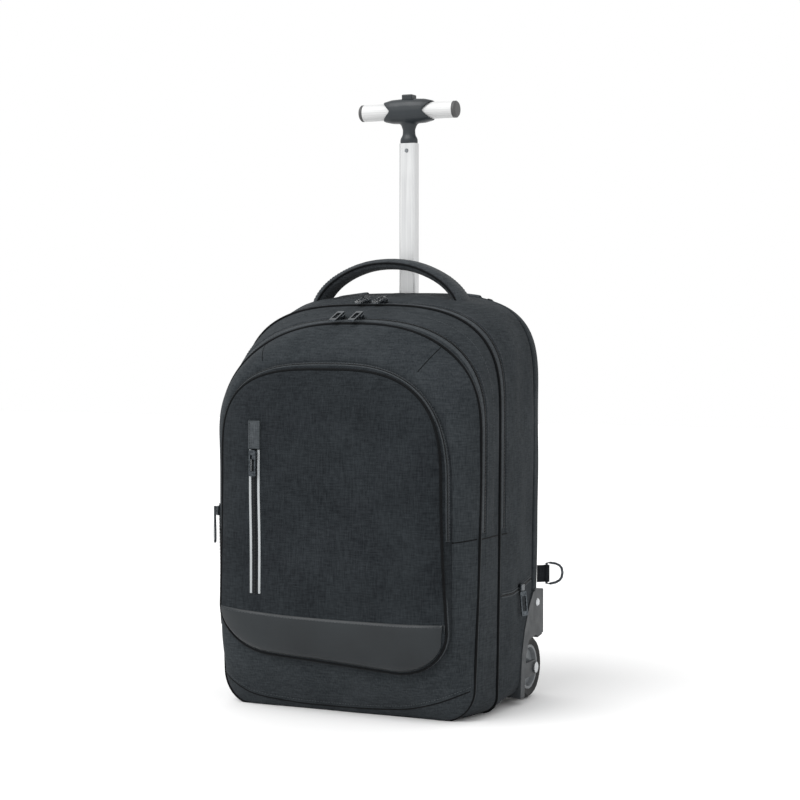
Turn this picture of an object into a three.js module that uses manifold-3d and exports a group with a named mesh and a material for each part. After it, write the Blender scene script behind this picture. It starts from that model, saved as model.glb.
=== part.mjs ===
// Wheeled backpack: a soft two-compartment pack with a front pocket, two corner wheels and a pull handle.
// Millimetres. +X is the right side, -Y the front, +Z up, and the ground is z = 0.
import * as THREE from 'three';
import { LoftGeometry } from 'three/addons/geometries/LoftGeometry.js';
import { RoundedBoxGeometry } from 'three/addons/geometries/RoundedBoxGeometry.js';
import { mergeVertices } from 'three/addons/utils/BufferGeometryUtils.js';
import Module from 'manifold-3d';

// Overall bag
const BAG_WIDTH = 337;
const BAG_HEIGHT = 484;
const SEAT_GAP = 0.3;

// Depths, from the front of the bag to its back
const MAIN_FRONT_Y = -17;
const POCKET_DOME = 12;
const POCKET_DEPTH = 12;
const PANEL_SLOPE_DEPTH = 32;
const FRONT_DEPTH = 55;
const MAIN_DEPTH = 102;
const BACK_WALL_THICKNESS = 3;
const REAR_DEPTH = 31;

// Soft walls
const FABRIC = 2.4;
const LINED_FABRIC = 2.8;
const BACK_PADDING = 9;
const STRIP_THICKNESS = 1.4;
const STRIP_HEIGHT = 52;
const PIPING_RISE = 2.2;
const PIPING_HALF_WIDTH = 2;

// Pull handle
const TUBE_WIDTH = 22;
const TUBE_DEPTH = 15;
const TUBE_WALL = 1.5;
const TUBE_LENGTH = 417;
const TUBE_SHOWN = 183;
const OUTER_TUBE_DROP = 8;
const OUTER_TUBE_WALL = 1.6;
const TUBE_CLEARANCE = 0.4;
const TUBE_PIN_RADIUS = 2.2;
const TUBE_PIN_DROP = 9;
const GRIP_HEIGHT_ABOVE_TUBE = 39;
const GRIP_LENGTH = 129;
const GRIP_RADIUS = 10.3;
const GRIP_CAP_LENGTH = 5;
const GRIP_CAP_CROWN = 1.7;
const HUB_HALF_LENGTH = 32;
const HUB_HALF_HEIGHT = 15.7;
const HUB_HALF_DEPTH = 14;
const NOTCH_DEPTH = 10.5;
const NOTCH_HALF_MOUTH = 10.8;
const NECK_WIDTH = 16;
const NECK_DEPTH = 12;
const SPIGOT_LENGTH = 18;
const BUTTON_SIZE = 14;
const BUTTON_HEIGHT = 7.5;
const BUTTON_TRAVEL = 2;
const BASE_BLOCK_HEIGHT = 46;
const BASE_BLOCK_WIDTH = 44;

// Carry handle on top
const CARRY_HALF_SPAN = 84;
const CARRY_RISE = 39.5;
const CARRY_WIDTH = 31;
const CARRY_THICKNESS = 12;
const CARRY_SUNK = 2;
const CARRY_FOOT_DROP = 12;

// Shoulder straps, stowed in the rear pocket
const STRAP_X = 75;
const STRAP_WIDTH = 54;
const STRAP_THICKNESS = 8;
const STRAP_LENGTH = 330;
const STRAP_WEBBING = 3;
const REAR_MOUTH_WIDTH = 214;

// Wheels and their corner housings
const WHEEL_RADIUS = 38;
const WHEEL_WIDTH = 23;
const TYRE_THICKNESS = 11.5;
const AXLE_RADIUS = 4;
const AXLE_HEAD_RADIUS = 6.5;
const AXLE_HEAD_THICKNESS = 2;
const BEARING_CLEARANCE = 0.35;
const WHEEL_IN_FROM_BACK = 27;
const WHEEL_SIDE_GAP = 2.6;
const WELL_CLEARANCE = 2.5;
const HOUSING_WALL = 3;
const HOUSING_TOP_Z = 131;
const HOUSING_BOTTOM_Z = 9;
const HOUSING_PROUD = 1.5;
const HOUSING_FRONT_MARGIN = 12;
const HOUSING_REAR_MARGIN = 1.5;
const HOUSING_CORNER_CUT = 11;
const HOUSING_CORNER_SLOPE = 0.46;
const FLANGE_WIDTH = 13;
const FLANGE_RISE = 1.5;
const LUG_WALL = 2.5;
const LUG_REACH = 12;
const RIVET_RADIUS = 5;
const RIVET_HEIGHT = 1.6;

// Side rings and zips
const RING_HEIGHT = 28.5;
const RING_REACH = 22;
const RING_WIRE = 1.6;
const RING_TAB_THICKNESS = 3.2;
const RING_TAB_REACH = 15;
const RING_ABOVE_HOUSING = 17;
const SLIDER_LENGTH = 11;
const SLIDER_WIDTH = 8;
const SLIDER_HEIGHT = 4;
const PULL_LENGTH = 26;
const FACE_PULL_LENGTH = 30;
const SIDE_PULL_LENGTH = 29;
const DROP_PULL_LENGTH = 38;
const ZIP_BEHIND_SEAM = 12;
const PULL_WIDTH = 9;
const PULL_WIRE = 1.8;
const FRONT_ZIP_X = -91;
const FRONT_ZIP_TAB_DROP = 69;
const FRONT_ZIP_TAB_LENGTH = 32;
const FRONT_ZIP_TAB_WIDTH = 12;
const FRONT_ZIP_TAB_THICKNESS = 1.8;
const SIDE_ZIP_ABOVE_HOUSING = 9;

// Seat planes that several pieces share
const HALF = BAG_WIDTH / 2;
const SEAM_ONE_Y = MAIN_FRONT_Y - FRONT_DEPTH;
const PANEL_Y = SEAM_ONE_Y - PANEL_SLOPE_DEPTH;
const POCKET_EDGE_Y = PANEL_Y - POCKET_DEPTH;
const MAIN_BACK_Y = MAIN_FRONT_Y + MAIN_DEPTH;
const BACK_WALL_REAR_Y = MAIN_BACK_Y + SEAT_GAP + BACK_WALL_THICKNESS;
const REAR_FRONT_Y = BACK_WALL_REAR_Y + SEAT_GAP;
const REAR_BACK_Y = REAR_FRONT_Y + REAR_DEPTH;
const REAR_HOLLOW_Y = REAR_BACK_Y - BACK_PADDING;
const WHEEL_Y = REAR_BACK_Y - WHEEL_IN_FROM_BACK;
const TUBE_TOP_Z = BAG_HEIGHT + TUBE_SHOWN;
const RING_TAB_Z = HOUSING_TOP_Z + RING_ABOVE_HOUSING;
const SIDE_ZIP_Z = HOUSING_TOP_Z + SIDE_ZIP_ABOVE_HOUSING;

// Outlines seen from the front, as shares of the bag's half width and height
const OUTLINE_SHARES = {
  pocket: {
    half: 0.855, foot: 0.852, top: 0.837, rise: 0.31, power: 2.4,
    bottom: 0.13, heelX: 0.38, heelZ: 0.105,
  },
  seamOne: {
    half: 0.985, foot: 0.94, top: 0.928, rise: 0.26, power: 2.5,
    bottom: 0, heelX: 0.24, heelZ: 0.08,
  },
  seamTwo: {
    half: 0.988, foot: 0.968, top: 0.972, rise: 0.26, power: 3,
    bottom: 0.0186, heelX: 0.11, heelZ: 0.04,
  },
  rear: {
    half: 1, foot: 0.985, top: 1, rise: 0.262, power: 3,
    bottom: 0.0186, heelX: 0.11, heelZ: 0.04,
  },
};
const POCKET_TILT = 0.019;

const wasm = await Module();
wasm.setup();

// Materials
const materials = {
  pocketFabric: [0x2e3235, 0.95, 0],
  panelFabric: [0x3e4245, 0.95, 0],
  leather: [0x34383b, 0.5, 0],
  webbing: [0x1c1f22, 0.9, 0],
  strapFabric: [0x4a4e51, 0.95, 0],
  aluminium: [0xe4e4e4, 0.35, 0.7],
  satinWhite: [0xececec, 0.4, 0.3],
  handlePlastic: [0x34383b, 0.45, 0],
  capPlastic: [0x6b6b6b, 0.5, 0],
  housingPlastic: [0x565b5e, 0.5, 0],
  tyre: [0x17181a, 0.8, 0],
  hubPlastic: [0x85898c, 0.45, 0],
  steel: [0xb9bcbe, 0.3, 1],
  gunmetal: [0x50555a, 0.3, 0.9],
};

const bag = new THREE.Group();

function addPiece(name, geometry, material) {
  const [color, roughness, metalness] = materials[material];
  const mesh = new THREE.Mesh(geometry, new THREE.MeshStandardMaterial({ color, roughness, metalness }));
  mesh.name = name;
  bag.add(mesh);
  return mesh;
}

// Closed solids
function merged(geometry) {
  const bare = new THREE.BufferGeometry().copy(geometry);
  bare.deleteAttribute('normal');
  bare.deleteAttribute('uv');
  return mergeVertices(bare, 1e-4);
}

function signedVolume(position, index) {
  const [a, b, c] = [new THREE.Vector3(), new THREE.Vector3(), new THREE.Vector3()];
  let total = 0;
  for (let i = 0; i < index.length; i += 3) {
    a.fromBufferAttribute(position, index[i]);
    b.fromBufferAttribute(position, index[i + 1]);
    c.fromBufferAttribute(position, index[i + 2]);
    total += a.dot(b.cross(c));
  }
  return total;
}

function solid(geometry) {
  const closed = merged(geometry);
  const index = [];
  const source = closed.index.array;
  for (let i = 0; i < source.length; i += 3) {
    const [p, q, r] = [source[i], source[i + 1], source[i + 2]];
    if (p !== q && q !== r && r !== p) index.push(p, q, r);
  }
  if (signedVolume(closed.attributes.position, index) < 0) index.reverse();
  const mesh = new wasm.Mesh({
    numProp: 3,
    vertProperties: new Float32Array(closed.attributes.position.array),
    triVerts: new Uint32Array(index),
  });
  return new wasm.Manifold(mesh);
}

function geometryOf(manifold) {
  const mesh = manifold.getMesh();
  const geometry = new THREE.BufferGeometry();
  geometry.setAttribute('position', new THREE.BufferAttribute(new Float32Array(mesh.vertProperties), 3));
  geometry.setIndex(new THREE.BufferAttribute(new Uint32Array(mesh.triVerts), 1));
  geometry.computeVertexNormals();
  return geometry;
}

// A box from its centre and size
function box(x, y, z, width, depth, height) {
  return new THREE.BoxGeometry(width, depth, height).translate(x, y, z);
}

// A cylinder along X
function barAlongX(radius, length, x, y, z, sides) {
  return new THREE.CylinderGeometry(radius, radius, length, sides).rotateZ(Math.PI / 2).translate(x, y, z);
}

// Outlines
function outlineSizes(share) {
  return {
    half: share.half * HALF,
    foot: share.foot * HALF,
    top: share.top * BAG_HEIGHT,
    rise: share.rise * BAG_HEIGHT,
    power: share.power,
    bottom: share.bottom * BAG_HEIGHT,
    heelX: share.heelX * HALF,
    heelZ: share.heelZ * BAG_HEIGHT,
    tilt: 0,
  };
}

// Grows an outline outwards; only a shrink moves the bottom edge
function grown(outline, by) {
  return {
    ...outline,
    half: outline.half + by,
    foot: outline.foot + by,
    top: outline.top + by,
    rise: outline.rise + by,
    bottom: outline.bottom - Math.min(by, 0),
    heelX: Math.max(outline.heelX + by, 2),
    heelZ: Math.max(outline.heelZ + by, 2),
  };
}

function mixed(a, b, share) {
  const result = {};
  for (const key of Object.keys(a)) result[key] = a[key] + (b[key] - a[key]) * share;
  return result;
}

// One ring of an outline at depth y, from the bottom centre round by the left side
const BOTTOM_STEPS = 3;
const HEEL_STEPS = 4;
const SIDE_STEPS = 4;
const TOP_STEPS = 10;

function halfOutline(o) {
  const points = [];
  const straight = o.foot - o.heelX;
  for (let i = 0; i < BOTTOM_STEPS; i++) points.push([straight * (i / BOTTOM_STEPS), o.bottom]);
  for (let i = 0; i < HEEL_STEPS; i++) {
    const angle = (Math.PI / 2) * (i / HEEL_STEPS);
    points.push([straight + o.heelX * Math.sin(angle), o.bottom + o.heelZ * (1 - Math.cos(angle))]);
  }
  const shoulder = o.top - o.rise;
  const heelTop = o.bottom + o.heelZ;
  for (let i = 0; i < SIDE_STEPS; i++) {
    const share = i / SIDE_STEPS;
    const widening = Math.sin((Math.PI / 2) * share);
    points.push([o.foot + (o.half - o.foot) * widening, heelTop + (shoulder - heelTop) * share]);
  }
  for (let i = 0; i <= TOP_STEPS; i++) {
    const angle = (Math.PI / 2) * (i / TOP_STEPS);
    const across = Math.pow(Math.max(Math.cos(angle), 0), 2 / o.power);
    const up = Math.pow(Math.sin(angle), 2 / o.power);
    points.push([o.half * (i === TOP_STEPS ? 0 : across), shoulder + o.rise * up]);
  }
  return points;
}

function ring(outline, y) {
  const right = halfOutline(outline);
  const left = right.slice(1, -1).reverse().map(([x, z]) => [-x, z]);
  const middle = outline.top - outline.rise;
  return [...right, ...left].map(([x, z]) => {
    const low = THREE.MathUtils.clamp((middle - z) / (middle - outline.bottom), 0, 1);
    return new THREE.Vector3(x, y, z - outline.tilt * (x / outline.half) * low);
  });
}

// A closed solid through rings of points, each end drawn in to its own middle
function skin(sections) {
  const closeAt = (section) => {
    const middle = new THREE.Vector3();
    for (const point of section) middle.add(point);
    middle.divideScalar(section.length);
    return section.map(() => middle);
  };
  const last = sections[sections.length - 1];
  return solid(new LoftGeometry([closeAt(sections[0]), ...sections, closeAt(last)]));
}

// A closed solid through outlines given as [outline, y] rows
function loft(rows) {
  return skin(rows.map(([outline, y]) => ring(outline, y)));
}

const pocketOutline = { ...outlineSizes(OUTLINE_SHARES.pocket), tilt: POCKET_TILT * BAG_HEIGHT };
const seamOneOutline = outlineSizes(OUTLINE_SHARES.seamOne);
const seamTwoOutline = outlineSizes(OUTLINE_SHARES.seamTwo);
const rearOutline = outlineSizes(OUTLINE_SHARES.rear);

// The wheel housing seen from the side, as shares of its length behind the front edge and of its height
const HOUSING_FRONT_Y = WHEEL_Y - WHEEL_RADIUS - HOUSING_FRONT_MARGIN;
const HOUSING_REAR_Y = WHEEL_Y + WHEEL_RADIUS + HOUSING_REAR_MARGIN;
const HOUSING_PROFILE = [
  { back: 0, up: 0 },
  { back: 0.02, up: 0.2 },
  { back: 0.06, up: 0.42 },
  { back: 0.15, up: 0.64 },
  { back: 0.32, up: 0.86 },
  { back: 0.46, up: 0.98 },
  { back: 0.56, up: 1 },
  { back: 0.86, up: 0.985 },
  { back: 0.9, up: 0.96 },
  { back: 0.91, up: 0.72 },
  { back: 1, up: 0.585 },
  { back: 0.99, up: 0.515 },
  { back: 0.84, up: 0.5 },
  { back: 0.84, up: 0 },
];
const EDGE_POINTS = 7;
const housingLength = HOUSING_REAR_Y - HOUSING_FRONT_Y;
const housingHeight = HOUSING_TOP_Z - HOUSING_BOTTOM_Z;
const housingProfile = HOUSING_PROFILE.map(({ back, up }) => (
  new THREE.Vector2(HOUSING_FRONT_Y + back * housingLength, HOUSING_BOTTOM_Z + up * housingHeight)
));
const housingOuterX = HALF * OUTLINE_SHARES.rear.foot + HOUSING_PROUD;
const wheelOuterX = housingOuterX - HOUSING_WALL - WHEEL_SIDE_GAP;
const wheelInnerX = wheelOuterX - WHEEL_WIDTH;
const housingInnerX = wheelInnerX - WHEEL_SIDE_GAP - HOUSING_WALL;

// Extrudes a side-view outline (y, z) from xLow to xHigh
function sideExtrusion(profile, xLow, xHigh) {
  const shape = new THREE.Shape(profile.map((p) => new THREE.Vector2(p.x, p.y)));
  const slab = new THREE.ExtrudeGeometry(shape, { depth: xHigh - xLow, bevelEnabled: false });
  slab.applyMatrix4(new THREE.Matrix4().set(0, 0, 1, xLow, 1, 0, 0, 0, 0, 1, 0, 0, 0, 0, 0, 1));
  return solid(slab);
}

// Points of an open run moved sideways by a distance, to the right of the way it goes
function shifted(points, by) {
  return points.map((point, i) => {
    const before = points[Math.max(i - 1, 0)];
    const after = points[Math.min(i + 1, points.length - 1)];
    const way = after.clone().sub(before).normalize();
    return new THREE.Vector2(point.x + way.y * by, point.y - way.x * by);
  });
}

// The corner that the housing takes out of the bag: a plain block round its front and top edges
function cornerZone(gap) {
  const edge = shifted(housingProfile.slice(0, EDGE_POINTS), -gap);
  const top = edge[EDGE_POINTS - 1].y;
  const rear = REAR_BACK_Y + WHEEL_RADIUS;
  const bottom = HOUSING_BOTTOM_Z - WHEEL_RADIUS;
  const outline = [
    new THREE.Vector2(edge[0].x, bottom),
    ...edge,
    new THREE.Vector2(rear, top),
    new THREE.Vector2(rear, bottom),
  ];
  const right = sideExtrusion(outline, housingInnerX - gap, HALF + WHEEL_RADIUS);
  return right.add(right.mirror([1, 0, 0]));
}

const outerZone = cornerZone(SEAT_GAP + 0.2);
const innerZone = cornerZone(SEAT_GAP + 0.2 + LINED_FABRIC);

const frontZipTop = pocketOutline.top - FRONT_ZIP_TAB_DROP;

// Front pocket: open at its back, seated on the front panel
const DOME_ROWS = [
  { inset: 72, height: 1 },
  { inset: 36, height: 0.86 },
  { inset: 12, height: 0.45 },
  { inset: 2.5, height: 0.1 },
];

function domeRows(by, rows) {
  return rows.map(({ inset, height }) => (
    [grown(pocketOutline, -inset), POCKET_EDGE_Y - POCKET_DOME * height - by]
  ));
}

function pocketOuter(by) {
  return loft([
    ...domeRows(by, DOME_ROWS),
    [grown(pocketOutline, PIPING_RISE * 0.6 + by), POCKET_EDGE_Y],
    [grown(pocketOutline, by - 0.6), POCKET_EDGE_Y + PIPING_HALF_WIDTH * 2],
    [grown(pocketOutline, by), PANEL_Y - SEAT_GAP],
  ]);
}

function makeFrontPocket() {
  const innerRows = DOME_ROWS.slice(0, 3).map(({ inset, height }) => ({ inset: inset + FABRIC, height }));
  const inner = loft([
    ...domeRows(-FABRIC, innerRows),
    [grown(pocketOutline, -FABRIC - 3), POCKET_EDGE_Y + FABRIC],
    [grown(pocketOutline, -FABRIC), PANEL_Y + 5],
  ]);
  return pocketOuter(0).subtract(inner);
}

// Front compartment: its panel slopes from the flat behind the pocket out to the first seam
const panelOutline = grown(pocketOutline, 3);

function panelRow(share, depthShare, by) {
  return [grown(mixed(panelOutline, seamOneOutline, share), by), PANEL_Y + PANEL_SLOPE_DEPTH * depthShare];
}

const frontBackY = MAIN_FRONT_Y - SEAT_GAP;
const gusset = mixed(seamOneOutline, seamTwoOutline, 0.5);
gusset.bottom = seamOneOutline.bottom;

function frontOuter(by) {
  return loft([
    panelRow(0, -by / PANEL_SLOPE_DEPTH, 0),
    panelRow(0.22, 0.1, by),
    panelRow(0.56, 0.38, by),
    panelRow(0.83, 0.7, by),
    panelRow(0.98, 0.93, by),
    [grown(seamOneOutline, PIPING_RISE + by), SEAM_ONE_Y],
    [grown(seamOneOutline, by), SEAM_ONE_Y + PIPING_HALF_WIDTH],
    [grown(gusset, 0.8 + by), (SEAM_ONE_Y + frontBackY) / 2],
    [grown(seamTwoOutline, by - 1), frontBackY],
  ]);
}

function makeFrontCompartment() {
  const inner = loft([
    panelRow(0.1, 0.1, -FABRIC),
    panelRow(0.7, 0.45, -FABRIC),
    panelRow(1, 1, -FABRIC),
    [grown(gusset, -FABRIC), (SEAM_ONE_Y + frontBackY) / 2],
    [grown(seamTwoOutline, -1 - FABRIC), frontBackY],
    [grown(seamTwoOutline, -1 - FABRIC), frontBackY + 5],
  ]);
  return frontOuter(0).subtract(inner);
}

// Main compartment: open at its back, with a cut corner for each wheel housing
const mainMiddle = grown(mixed(seamTwoOutline, rearOutline, 0.62), 1.2);
mainMiddle.bottom = seamTwoOutline.bottom;
const mainMiddleY = MAIN_FRONT_Y + MAIN_DEPTH * 0.5;
const sideZipY = MAIN_FRONT_Y + MAIN_DEPTH * 0.58;
const sideZipX = mainMiddle.half - 0.5;
const pocketSideZ = BAG_HEIGHT * 0.472;

function mainOuter(by) {
  return loft([
    [grown(seamTwoOutline, by - 3), MAIN_FRONT_Y],
    [grown(seamTwoOutline, by + PIPING_RISE * 0.4), MAIN_FRONT_Y + 0.4],
    [grown(seamTwoOutline, by + PIPING_RISE), MAIN_FRONT_Y + PIPING_HALF_WIDTH],
    [grown(seamTwoOutline, by), MAIN_FRONT_Y + PIPING_HALF_WIDTH * 2],
    [grown(mainMiddle, by), mainMiddleY],
    [grown(rearOutline, by), MAIN_BACK_Y],
  ]);
}

function makeMainCompartment() {
  const inner = loft([
    [grown(seamTwoOutline, -LINED_FABRIC - 2), MAIN_FRONT_Y + LINED_FABRIC],
    [grown(mainMiddle, -LINED_FABRIC), mainMiddleY],
    [grown(rearOutline, -LINED_FABRIC), MAIN_BACK_Y],
    [grown(rearOutline, -LINED_FABRIC), MAIN_BACK_Y + 5],
  ]);
  return mainOuter(0).subtract(outerZone).subtract(inner.subtract(innerZone));
}

function makeBackWall() {
  const plate = loft([
    [grown(rearOutline, -0.5), MAIN_BACK_Y + SEAT_GAP],
    [grown(rearOutline, -0.5), BACK_WALL_REAR_Y],
  ]);
  return plate.subtract(outerZone);
}

// Rear stow pocket: open at its front against the back wall, with a mouth along its top
function rearOuter(by) {
  const depth = REAR_DEPTH;
  return loft([
    [grown(rearOutline, by), REAR_FRONT_Y],
    [grown(rearOutline, by - 0.6), REAR_FRONT_Y + depth * 0.4],
    [grown(rearOutline, by - 4), REAR_FRONT_Y + depth * 0.66 + by],
    [grown(rearOutline, by - 13), REAR_FRONT_Y + depth * 0.87 + by],
    [grown(rearOutline, by - 34), REAR_BACK_Y + by],
  ]);
}

function rearHollow(by) {
  const depth = REAR_DEPTH;
  return loft([
    [grown(rearOutline, by - FABRIC), REAR_FRONT_Y - 5],
    [grown(rearOutline, by - FABRIC), REAR_FRONT_Y + depth * 0.45],
    [grown(rearOutline, by - 7), REAR_FRONT_Y + depth * 0.6],
    [grown(rearOutline, by - 14), REAR_HOLLOW_Y + by],
  ]).subtract(cornerZone(SEAT_GAP + 0.2 + LINED_FABRIC - by));
}

function makeRearCover() {
  const mouthDepth = REAR_HOLLOW_Y - REAR_FRONT_Y + 2;
  const mouth = solid(box(0, REAR_HOLLOW_Y - mouthDepth / 2, BAG_HEIGHT, REAR_MOUTH_WIDTH, mouthDepth, 40));
  return rearOuter(0).subtract(outerZone).subtract(rearHollow(0)).subtract(mouth);
}

// A thin layer lying on the pocket's dome
function pocketLayer(thickness) {
  const layer = (lift) => loft([
    ...domeRows(lift, DOME_ROWS.slice(0, 3)),
    ...domeRows(lift, [{ inset: 3.4, height: 0.14 }]),
    [grown(pocketOutline, -3.4), POCKET_EDGE_Y + 1],
  ]);
  const front = solid(box(0, POCKET_EDGE_Y - 20, BAG_HEIGHT / 2, BAG_WIDTH * 1.2, 39, BAG_HEIGHT));
  return layer(SEAT_GAP + thickness).subtract(layer(SEAT_GAP)).intersect(front);
}

// A strip of smooth leather across the pocket's foot, wrapped over its dome
function makeLeatherStrip() {
  const reach = pocketOutline.half + 10;
  const topZ = pocketOutline.bottom + STRIP_HEIGHT;
  const area = new THREE.Shape();
  area.moveTo(-reach, topZ + STRIP_HEIGHT * 0.25);
  area.quadraticCurveTo(-reach * 0.25, topZ - STRIP_HEIGHT * 0.05, reach, topZ - STRIP_HEIGHT * 0.05);
  area.lineTo(reach, 0);
  area.lineTo(-reach, 0);
  area.closePath();
  const slab = new THREE.ExtrudeGeometry(area, { depth: 60, bevelEnabled: false, curveSegments: 8 });
  slab.rotateX(Math.PI / 2).translate(0, POCKET_EDGE_Y + 30, 0);
  return pocketLayer(STRIP_THICKNESS).intersect(solid(slab));
}

// The tab that covers the top of the pocket's upright zip
function makeFrontZipTab() {
  const z = frontZipTop - FRONT_ZIP_TAB_LENGTH / 2;
  const area = box(FRONT_ZIP_X, POCKET_EDGE_Y, z, FRONT_ZIP_TAB_WIDTH, 80, FRONT_ZIP_TAB_LENGTH);
  return pocketLayer(FRONT_ZIP_TAB_THICKNESS).intersect(solid(area));
}

// A band of rounded section swept along frames of { centre, across, normal, width, thickness }
function sweptBand(frames, rounding) {
  const sections = frames.map(({ centre, across, normal, width, thickness }) => {
    const [w, t] = [width / 2, thickness / 2];
    const r = Math.min(rounding, t * 0.9);
    const corners = [
      [w, -t + r], [w, t - r], [w - r, t], [-w + r, t],
      [-w, t - r], [-w, -t + r], [-w + r, -t], [w - r, -t],
    ];
    return corners.map(([a, n]) => centre.clone().addScaledVector(across, a).addScaledVector(normal, n));
  });
  return skin(sections);
}

// Frames along a path in a plane whose normal is "across"
function framesAlong(points, across, widths, thicknesses) {
  return points.map((point, i) => {
    const before = points[Math.max(i - 1, 0)];
    const after = points[Math.min(i + 1, points.length - 1)];
    const tangent = after.clone().sub(before).normalize();
    const normal = new THREE.Vector3().crossVectors(across, tangent).normalize();
    return { centre: point, across, normal, width: widths[i], thickness: thicknesses[i] };
  });
}

const carryY = MAIN_FRONT_Y + MAIN_DEPTH * 0.62;

function makeCarryHandle() {
  const steps = 20;
  const topZ = mainMiddle.top;
  const points = [];
  for (let i = 0; i <= steps; i++) {
    const angle = Math.PI * (i / steps);
    const lift = Math.pow(Math.sin(angle), 1.3);
    const drop = CARRY_FOOT_DROP * Math.pow(Math.abs(Math.cos(angle)), 12);
    const z = topZ - CARRY_SUNK + CARRY_RISE * (i === 0 || i === steps ? 0 : lift) - drop;
    points.push(new THREE.Vector3(-CARRY_HALF_SPAN * Math.cos(angle), carryY, z));
  }
  const across = new THREE.Vector3(0, 1, 0);
  const outward = (p) => Math.abs(p.x / CARRY_HALF_SPAN);
  const widths = points.map((p) => CARRY_WIDTH * (1 + 0.06 * Math.pow(outward(p), 6)));
  const thicknesses = points.map((p) => CARRY_THICKNESS * (1 - 0.35 * Math.pow(outward(p), 8)));
  return sweptBand(framesAlong(points, across, widths, thicknesses), 4.5).subtract(mainOuter(SEAT_GAP));
}

// One shoulder strap: sewn to the back wall, over its top edge, then down inside the rear pocket
function makeShoulderStrap(side) {
  const frontY = REAR_FRONT_Y + STRAP_WEBBING / 2;
  const hangY = REAR_HOLLOW_Y - 1.5 - STRAP_THICKNESS / 2;
  const radius = (hangY - frontY) / 2;
  const archZ = BAG_HEIGHT * 0.983;
  const points = [];
  const widths = [];
  const thicknesses = [];
  const add = (y, z, width, thickness) => {
    points.push(new THREE.Vector3(side * STRAP_X, y, z));
    widths.push(width);
    thicknesses.push(thickness);
  };
  add(frontY, archZ - 34, STRAP_WIDTH * 0.7, STRAP_WEBBING);
  add(frontY, archZ - 12, STRAP_WIDTH * 0.72, STRAP_WEBBING);
  for (const turn of [0, 0.25, 0.5, 0.75, 1]) {
    const angle = Math.PI * turn;
    const y = frontY + radius * (1 - Math.cos(angle));
    add(y, archZ + radius * 0.9 * Math.sin(angle), STRAP_WIDTH * 0.74, STRAP_WEBBING);
  }
  const drop = (share) => archZ - STRAP_LENGTH * share;
  add(hangY, drop(0.08), STRAP_WIDTH, STRAP_THICKNESS * 0.8);
  add(hangY, drop(0.3), STRAP_WIDTH, STRAP_THICKNESS);
  add(hangY, drop(0.65), STRAP_WIDTH * 0.92, STRAP_THICKNESS);
  add(hangY, drop(0.92), STRAP_WIDTH * 0.74, STRAP_THICKNESS);
  add(hangY, drop(1), STRAP_WIDTH * 0.5, STRAP_THICKNESS * 0.7);
  const band = sweptBand(framesAlong(points, new THREE.Vector3(1, 0, 0), widths, thicknesses), 2.5);
  return band;
}

// Pull handle tubes
const tubeY = REAR_FRONT_Y + TUBE_DEPTH / 2 + TUBE_CLEARANCE + OUTER_TUBE_WALL;
const tubeBottomZ = TUBE_TOP_Z - TUBE_LENGTH;
const floorZ = rearOutline.bottom + FABRIC + SEAT_GAP;
const outerTubeBottomZ = floorZ + BASE_BLOCK_HEIGHT + SEAT_GAP;
const outerTubeLength = BAG_HEIGHT - OUTER_TUBE_DROP - outerTubeBottomZ;

function roundedRectangle(width, depth, radius, reverse) {
  const shape = reverse ? new THREE.Path() : new THREE.Shape();
  const [w, d] = [width / 2, depth / 2];
  shape.moveTo(-w + radius, -d);
  shape.lineTo(w - radius, -d);
  shape.absarc(w - radius, -d + radius, radius, -Math.PI / 2, 0, false);
  shape.lineTo(w, d - radius);
  shape.absarc(w - radius, d - radius, radius, 0, Math.PI / 2, false);
  shape.lineTo(-w + radius, d);
  shape.absarc(-w + radius, d - radius, radius, Math.PI / 2, Math.PI, false);
  shape.lineTo(-w, -d + radius);
  shape.absarc(-w + radius, -d + radius, radius, Math.PI, Math.PI * 1.5, false);
  return shape;
}

// An upright rectangular tube, or a bar when it has no wall
function uprightTube(width, depth, radius, wall, bottomZ, height) {
  const shape = roundedRectangle(width, depth, radius, false);
  if (wall) {
    const hole = roundedRectangle(width - 2 * wall, depth - 2 * wall, radius - wall * 0.7, true);
    shape.holes.push(hole);
  }
  const tube = new THREE.ExtrudeGeometry(shape, { depth: height, bevelEnabled: false, curveSegments: 3 });
  return solid(tube.translate(0, tubeY, bottomZ));
}

const tubeCorner = 3.6;
const outerTubeWidth = TUBE_WIDTH + 2 * (TUBE_CLEARANCE + OUTER_TUBE_WALL);
const outerTubeDepth = TUBE_DEPTH + 2 * (TUBE_CLEARANCE + OUTER_TUBE_WALL);

function makeOuterTube() {
  const corner = tubeCorner + TUBE_CLEARANCE + OUTER_TUBE_WALL;
  return uprightTube(
    outerTubeWidth, outerTubeDepth, corner, OUTER_TUBE_WALL, outerTubeBottomZ, outerTubeLength,
  );
}

// A short cylinder along Y at the pin's height, its front face at an offset from the tube's front
function pinCylinder(radius, offset, length) {
  const pin = new THREE.CylinderGeometry(radius, radius, length, 12);
  return pin.translate(0, tubeY - TUBE_DEPTH / 2 + offset + length / 2, TUBE_TOP_Z - TUBE_PIN_DROP);
}

function makeInnerTube() {
  const tube = uprightTube(TUBE_WIDTH, TUBE_DEPTH, tubeCorner, TUBE_WALL, tubeBottomZ, TUBE_LENGTH);
  return tube.subtract(solid(pinCylinder(TUBE_PIN_RADIUS + SEAT_GAP, -2, 2 + TUBE_WALL + 1)));
}

// Handle hub: a barrel with notched ends, a neck down to the tube and a spigot inside it
const gripZ = TUBE_TOP_Z + GRIP_HEIGHT_ABOVE_TUBE;
const neckBottomZ = TUBE_TOP_Z + SEAT_GAP;

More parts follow.
